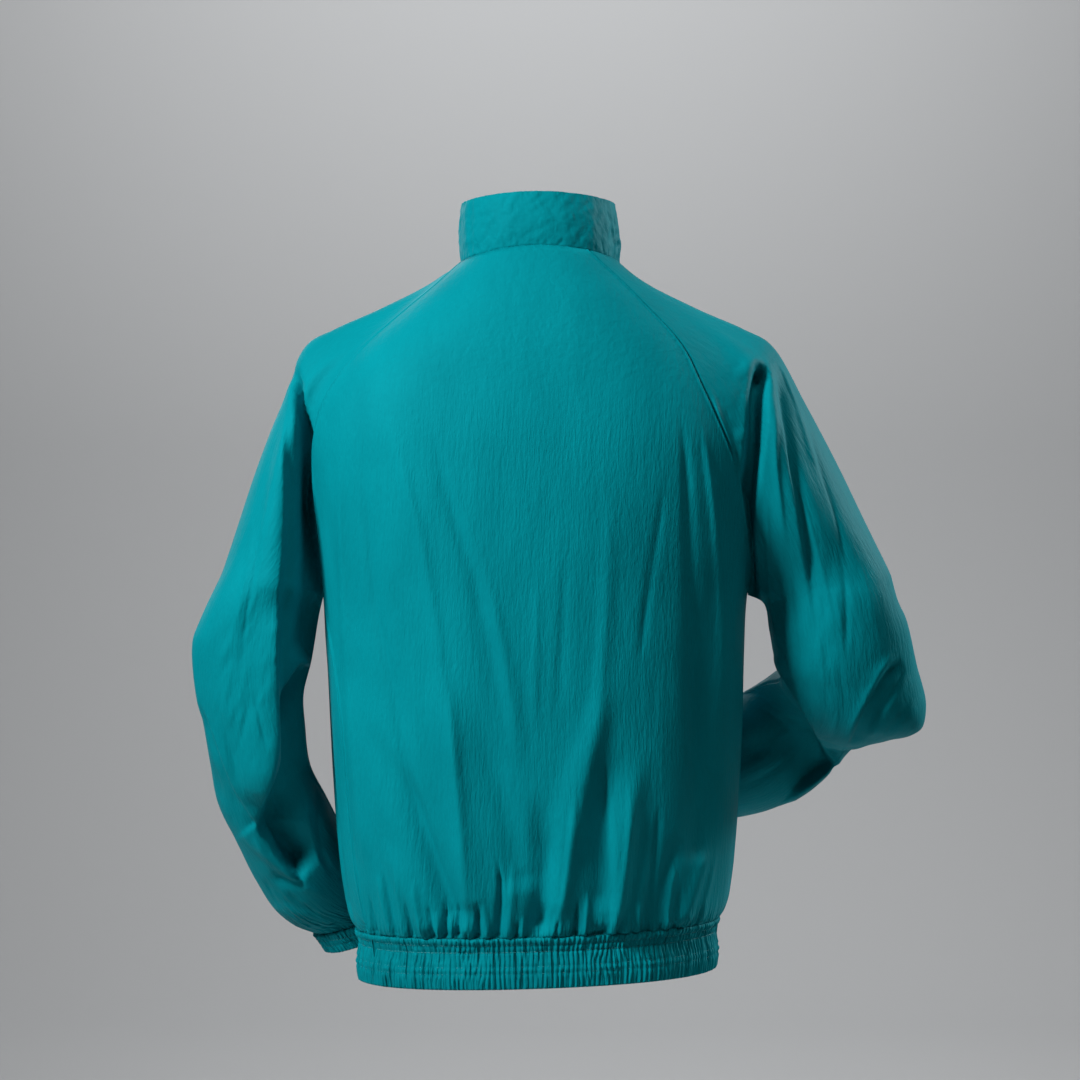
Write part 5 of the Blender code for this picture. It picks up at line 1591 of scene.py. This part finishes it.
def band_row(row, first, last):
    """Row of stitches on the hem band between two angles."""
    a, b = first + ROW_END, last - ROW_END

    def on_band(share, lift=OFF_CLOTH):
        return band_point(row + 0 * share, a + (b - a) * share, 0.0, lift)

    return row_of_stitches(on_band, lambda share: on_band(share, OFF_CLOTH + 1), (b - a) / 360 * HEM_ROUND)


def cuff_row(row, side):
    """Row of stitches round a cuff."""
    def on_cuff(share, lift=OFF_CLOTH):
        return cuff_point(row + 0 * share, share, side, 0.0, lift)

    return row_of_stitches(on_cuff, lambda share: on_cuff(share, OFF_CLOTH + 1), CUFF_ROW_LONG)


band_ends = (right_side, left_side), (left_side, zip_angle), (-zip_angle, right_side)
band_rows = [band_row(row, *ends) for row in STITCH_ROWS for ends in band_ends]
hem_stitches = make_parts("hem_band_stitches", band_rows, thread)
for side, name in ((1, "left"), (-1, "right")):
    cuff_rows = [cuff_row(row, side) for row in CUFF_STITCH_ROWS]
    make_parts("cuff_" + name + "_stitches", cuff_rows, thread)

# %% [markdown]
# ## The zip
#
# A closed zip runs up the centre front through band, body and collar. It is a woven tape on each side,
# moulded teeth that mesh in the middle, and a slider with a pull. Each tooth is one small block with a
# waist, set on the line of the front and turned with it, first from one side and then the other.

# %% Line of the front
COLLAR_FRONT_HIGH = 62      # in mm, for the steps up the front


def front_line(level, away, side):
    """Point and outward normal on the front, away mm from its middle. A level up to the neckline is a
    height on the body, and one from 0 to 1 is a height on the collar."""
    level, away = np.broadcast_arrays(np.asarray(level, float), np.asarray(away, float))
    z, top = np.minimum(level, NECK), np.clip(level, 0, 1)
    on_body = (level <= NECK)[..., None]
    angle = front_edge(z, side, away)
    point = np.where(on_body, body_ring(z, angle), collar_face(top, angle))
    side_body = body_ring(z, angle + 1) - body_ring(z, angle - 1)
    rise_body = body_ring(z + 0.5, angle) - body_ring(z - 0.5, angle)
    side_collar = collar_face(top, angle + 0.5) - collar_face(top, angle - 0.5)
    rise_collar = collar_face(top + 0.02, angle) - collar_face(top - 0.02, angle)
    sideways = np.where(on_body, side_body, side_collar)
    upwards = np.where(on_body, rise_body, rise_collar)
    return point, unit(np.cross(upwards, sideways))


def front_levels(step):
    """Levels of the whole front, from the end of the band to the top of the collar, step mm apart."""
    on_body = np.arange(HEM_END, NECK, step)
    return np.concatenate([on_body, np.linspace(0.01, 1, int(COLLAR_FRONT_HIGH / step))])


zip_point, zip_out = front_line(front_levels(0.5), 0.0, 1)
zip_run = lengths(zip_point[:, None], 0)[:, 0]


def up_zip(at):
    """Points and outward normals of the front's middle, at lengths in mm from its lower end."""
    return read_line(at, zip_run, zip_point), unit(read_line(at, zip_run, zip_out))


print("zip length in mm:", round(float(zip_run[-1])))

# %% [markdown]
# The tapes are plain weave: ribs both ways, multiplied, which gives a small bump where two threads cross.
# They lie behind the cloth, as far back as its folded layers are thick.

# %% Tapes
TAPE_FROM, TAPE_EDGE, TAPE_COLUMNS = 1.8, 15.0, 9       # from the middle of the front, in mm
TAPE_ROW, TAPE_THICK, TAPE_GAP = 4.0, 0.8, 0.35
PANEL_WALL = 1.2
LEVELLED = 5                                            # rows over which a step in the cloth is evened out

tape_material, tape_shader, ask = begin_material("zip_tape_weave", 0.78, Sheen_Weight=0.1)
tape_uv = ask.node("ShaderNodeUVMap", {"uv_map": "cloth"})
weave = bands(tape_uv, "Y", 420.0) * bands(tape_uv, "X", 300.0)
# The colour follows the weave's bump: darker where the threads sink between crossings, which is painted shade
feed(tape_shader, "Base Color", ramp(weave, (0.0, (0.003, 0.12, 0.14)), (0.8, (0.006, 0.19, 0.21))))
feed(tape_shader, "Normal", ask.node("ShaderNodeBump", {}, {"Height": weave, "Distance": 0.00025}))

for side, name in ((1, "left"), (-1, "right")):
    level = front_levels(TAPE_ROW)[:, None]
    away = np.linspace(TAPE_FROM, TAPE_EDGE, TAPE_COLUMNS)[None, :]
    point, out = front_line(level, away, side)
    wall = np.where(level < HEM, BAND_THICK, np.where(level > NECK, COLLAR_THICK, PANEL_WALL)) + TAPE_GAP
    wall = np.pad(wall[:, 0], LEVELLED // 2, mode="edge")
    wall = np.convolve(wall, np.ones(LEVELLED) / LEVELLED, "valid")[:, None]
    uv = np.stack([away + 0 * level, lengths(point, 0)], -1)
    tape = point - out * wall[..., None]
    add_cloth("zip_tape_" + name, tape, TAPE_THICK, tape_material, uv, turned=side > 0,
                            slot="zip_tape")

# %% [markdown]
# A tooth is a block with a head, a waist and a foot that grips the tape. Its outline is six half widths
# along it. The teeth of one side stand half a step above those of the other, and above the slider, where
# the chain is open, each side stands a little apart.

# %% A tooth
TOOTH_OUTLINE = ((-0.9, 0.62), (-0.2, 0.80), (0.5, 0.44), (1.2, 0.48), (2.2, 0.62), (2.7, 0.50))
TOOTH_BACK, TOOTH_FACE, TOOTH_EDGE = -1.4, 0.35, 0.25

tooth_material, tooth_shader, ask = begin_material("zip_tooth", 0.32)
place = ask.node("ShaderNodeTexCoord", output="Object")
speckle = ask.node("ShaderNodeTexNoise", {}, {"Vector": place, "Scale": 900.0, "Detail": 2.0})
feed(tooth_shader, "Base Color", ramp(speckle, (0.3, (0.004, 0.13, 0.15)), (0.7, (0.008, 0.17, 0.19))))
feed(tooth_shader, "Roughness", speckle * 0.12 + 0.26)


def tooth():
    """Block along x from its head to its foot, with half widths from TOOTH_OUTLINE; y is out, z is up."""
    rings = []
    for x, half in TOOTH_OUTLINE:
        corner = TOOTH_EDGE if x in (TOOTH_OUTLINE[0][0], TOOTH_OUTLINE[-1][0]) else 0.0
        y0, y1 = TOOTH_BACK + corner, TOOTH_FACE - corner
        rings.append([(x, y0, -half), (x, y1 - TOOTH_EDGE, -half), (x, y1, -half * 0.6),
                      (x, y1, half * 0.6), (x, y1 - TOOTH_EDGE, half), (x, y0, half)])
    points = np.array(rings, float).reshape(-1, 3)
    number = np.arange(len(points)).reshape(len(rings), 6)
    walls = quads(np.concatenate([number, number[:, :1]], 1))
    return points, [walls[:, ::-1], number[:1], number[-1:, ::-1]]


print("points of a tooth:", len(tooth()[0]))

# %% Chain of teeth
TOOTH_PITCH = 2.5
CHAIN_FROM, CHAIN_SHORT = 7.0, 1.5              # ends of the chain, from the ends of the zip
SLIDER_AT, BELOW_SLIDER, ABOVE_SLIDER = 0.78, 0.5, 11.5     # share of the collar, and free room in mm
OPEN_APART = 0.35
TOOTH_SHARP = np.radians(35)

at = np.arange(CHAIN_FROM, zip_run[-1] - CHAIN_SHORT, TOOTH_PITCH / 2)
place, out = up_zip(at)
up = unit(np.gradient(place, axis=0))
out = unit(out - up * np.sum(out * up, -1)[:, None])
slider_run = zip_run[-1] - (1 - SLIDER_AT) * np.linalg.norm(collar_face(1.0, 180) - collar_face(0.0, 180))
chain = []
for side, start in ((1, 0), (-1, 1)):
    for part, shift in ((at < slider_run - BELOW_SLIDER, 0.0), (at > slider_run + ABOVE_SLIDER, OPEN_APART)):
        chosen = part & (np.arange(len(at)) % 2 == start)
        x = -side * np.cross(out, up)[chosen]
        axes = np.stack([x, out[chosen], up[chosen]], 1)
        points, blocks = repeat(tooth(), place[chosen] + x * shift, axes, np.ones((chosen.sum(), 3)))
        chain.append((points, blocks if side > 0 else [block[:, ::-1] for block in blocks]))
teeth = make_parts("zip_teeth", chain, tooth_material, ["zip_chain"])
teeth.data.set_sharp_from_angle(angle=TOOTH_SHARP)

# %% [markdown]
# The slider and its pull are cast metal, and the chain ends in a retainer box below and a stop on each
# side above. Slider and pull keep the solids' own form and take the metal. A brushed finish is fine
# scratches in one direction, which is noise stretched along the zip.

# %% Metal of slider and pull
metal, metal_shader, ask = begin_material("satin_metal", 0.3, 1.0)
place = ask.node("ShaderNodeTexCoord", output="Object")
brushed = ask.node("ShaderNodeMapping", {}, {"Vector": place, "Scale": (9000, 9000, 500)})
scratches = ask.node("ShaderNodeTexNoise", {}, {"Vector": brushed, "Scale": 1.0, "Detail": 3.0})
feed(metal_shader, "Base Color", ramp(scratches, (0.3, (0.50, 0.51, 0.52)), (0.7, (0.66, 0.67, 0.68))))
feed(metal_shader, "Roughness", scratches * 0.25 + 0.20)
feed(metal_shader, "Normal", ask.node("ShaderNodeBump", {}, {"Height": scratches, "Distance": 0.00004}))
for node in ("zip_slider", "zip_pull"):
    for material_slot in frame["nodes"][node].material_slots:
        material_slot.material = metal
print("metal:", metal.name)

# %% Retainer box and top stops
BLOCK_Y = np.array([0.5, 0.5, 0.34, -0.34, -0.5, -0.5, -0.34, 0.34])
BLOCK_Z = np.array([-0.34, 0.34, 0.5, 0.5, 0.34, -0.34, -0.5, -0.5])
BLOCK_RINGS = ((-0.5, 0.72), (-0.46, 0.9), (-0.36, 1.0), (0.36, 1.0), (0.46, 0.9), (0.5, 0.72))
BOX_AT, BOX_SIZE = 3.9, (7.0, 3.0, 5.4)
STOP_BELOW_TOP, STOP_SIZE, STOP_APART, STOP_SUNK = 0.9, (2.4, 2.6, 1.7), 1.9, 0.5
STOP_SHARP = np.radians(40)


def rounded_block():
    """Block 1 by 1 by 1 with rounded edges: rings along x of eight corners, smaller at both ends."""
    rings = [np.column_stack([np.full(8, x), BLOCK_Y * share, BLOCK_Z * share]) for x, share in BLOCK_RINGS]
    number = np.arange(8 * len(rings)).reshape(len(rings), 8)
    walls = quads(np.concatenate([number, number[:, :1]], 1))
    return np.concatenate(rings), [walls, number[:1], number[-1:, ::-1]]


stop_at = np.array([BOX_AT, zip_run[-1] - STOP_BELOW_TOP, zip_run[-1] - STOP_BELOW_TOP])
stop_side = STOP_APART * np.array([0.0, 1.0, -1.0])[:, None]
stop_place, stop_out = up_zip(stop_at)
stop_x = np.tile([1.0, 0.0, 0.0], (3, 1))
stop_up = np.cross(stop_x, stop_out)
stop_up = unit(stop_up * np.sign(stop_up[:, 2:]))
stop_place = stop_place + stop_x * stop_side - stop_out * STOP_SUNK
stop_axes = np.stack([stop_x, stop_out, stop_up], 1)
stop_parts = repeat(rounded_block(), stop_place, stop_axes, np.array([BOX_SIZE, STOP_SIZE, STOP_SIZE]))
stops = make_parts("zip_stops", [stop_parts], metal)
stops.data.set_sharp_from_angle(angle=STOP_SHARP)

# %% [markdown]
# The fronts are turned back along the zip and sewn through once more, a row on each side, so that the
# cloth can't catch in the slider.

# %% Rows beside the zip
ROW_FROM_MIDDLE, ROW_FROM_SEAM, ROW_LONG = 12.5, 2.5, 640
OFF_FRONT = 0.18            # how far a stitch is lifted off the front


def beside_zip(side):
    """Line of a row on the front and one 1 mm off it, as functions of share."""
    level = np.linspace(HEM + ROW_FROM_SEAM, NECK - ROW_FROM_SEAM, 400)
    point, out = front_line(level, ROW_FROM_MIDDLE, side)
    knots = np.linspace(0, 1, len(level))
    return [lambda share, lift=lift: read_line(share, knots, point + lift * out)
            for lift in (OFF_FRONT, OFF_FRONT + 1)]


zip_rows = [row_of_stitches(*beside_zip(side), ROW_LONG) for side in (1, -1)]
zip_stitches = make_parts("zip_stitches", zip_rows, thread)

# %% [markdown]
# A pocket in the side seam ends in a bar tack on the front, just beside the seam: a few stitches laid
# side by side across the strain, because that is where a hand pulls.

# %% Bar tacks
TACK_HEIGHT, TACK_STITCHES, TACK_PITCH = -603.0, 5, 0.55
TACK_FROM_SEAM, TACK_LONG, TACK_LEAN = 2.5, 7.0, 0.2
TACK_THREAD = 0.3


def bar_tack(cloth, side):
    """Stitches one above the other on the front's cloth, each end set on the nearest point of its mesh."""
    per_degree = np.radians(1) * float(half_width(TACK_HEIGHT))
    start = float(front_seam(TACK_HEIGHT, side)) + side * TACK_FROM_SEAM / per_degree
    ends = []
    for away in (0.0, TACK_LONG):
        angle = start + side * away / per_degree
        heights = TACK_HEIGHT + np.arange(TACK_STITCHES) * TACK_PITCH - TACK_LEAN * away
        on_form = body_ring(heights, angle) * MM
        ends.append([cloth.closest_point_on_mesh(Vector(point))[1:3] for point in on_form])
    start_at, end_at = (np.array([place for place, normal in row]) / MM for row in ends)
    out = np.array([normal for place, normal in ends[0]])
    middle, axes, long = stitch_frames(start_at, end_at, out)
    round_size = np.full(len(long), TACK_THREAD)
    sizes = np.stack([long, round_size, round_size], -1)
    return repeat(capsule(), middle + TACK_THREAD * out, axes, sizes)


tacks = make_parts("pocket_bar_tacks", [bar_tack(left_front, 1), bar_tack(right_front, -1)], thread)
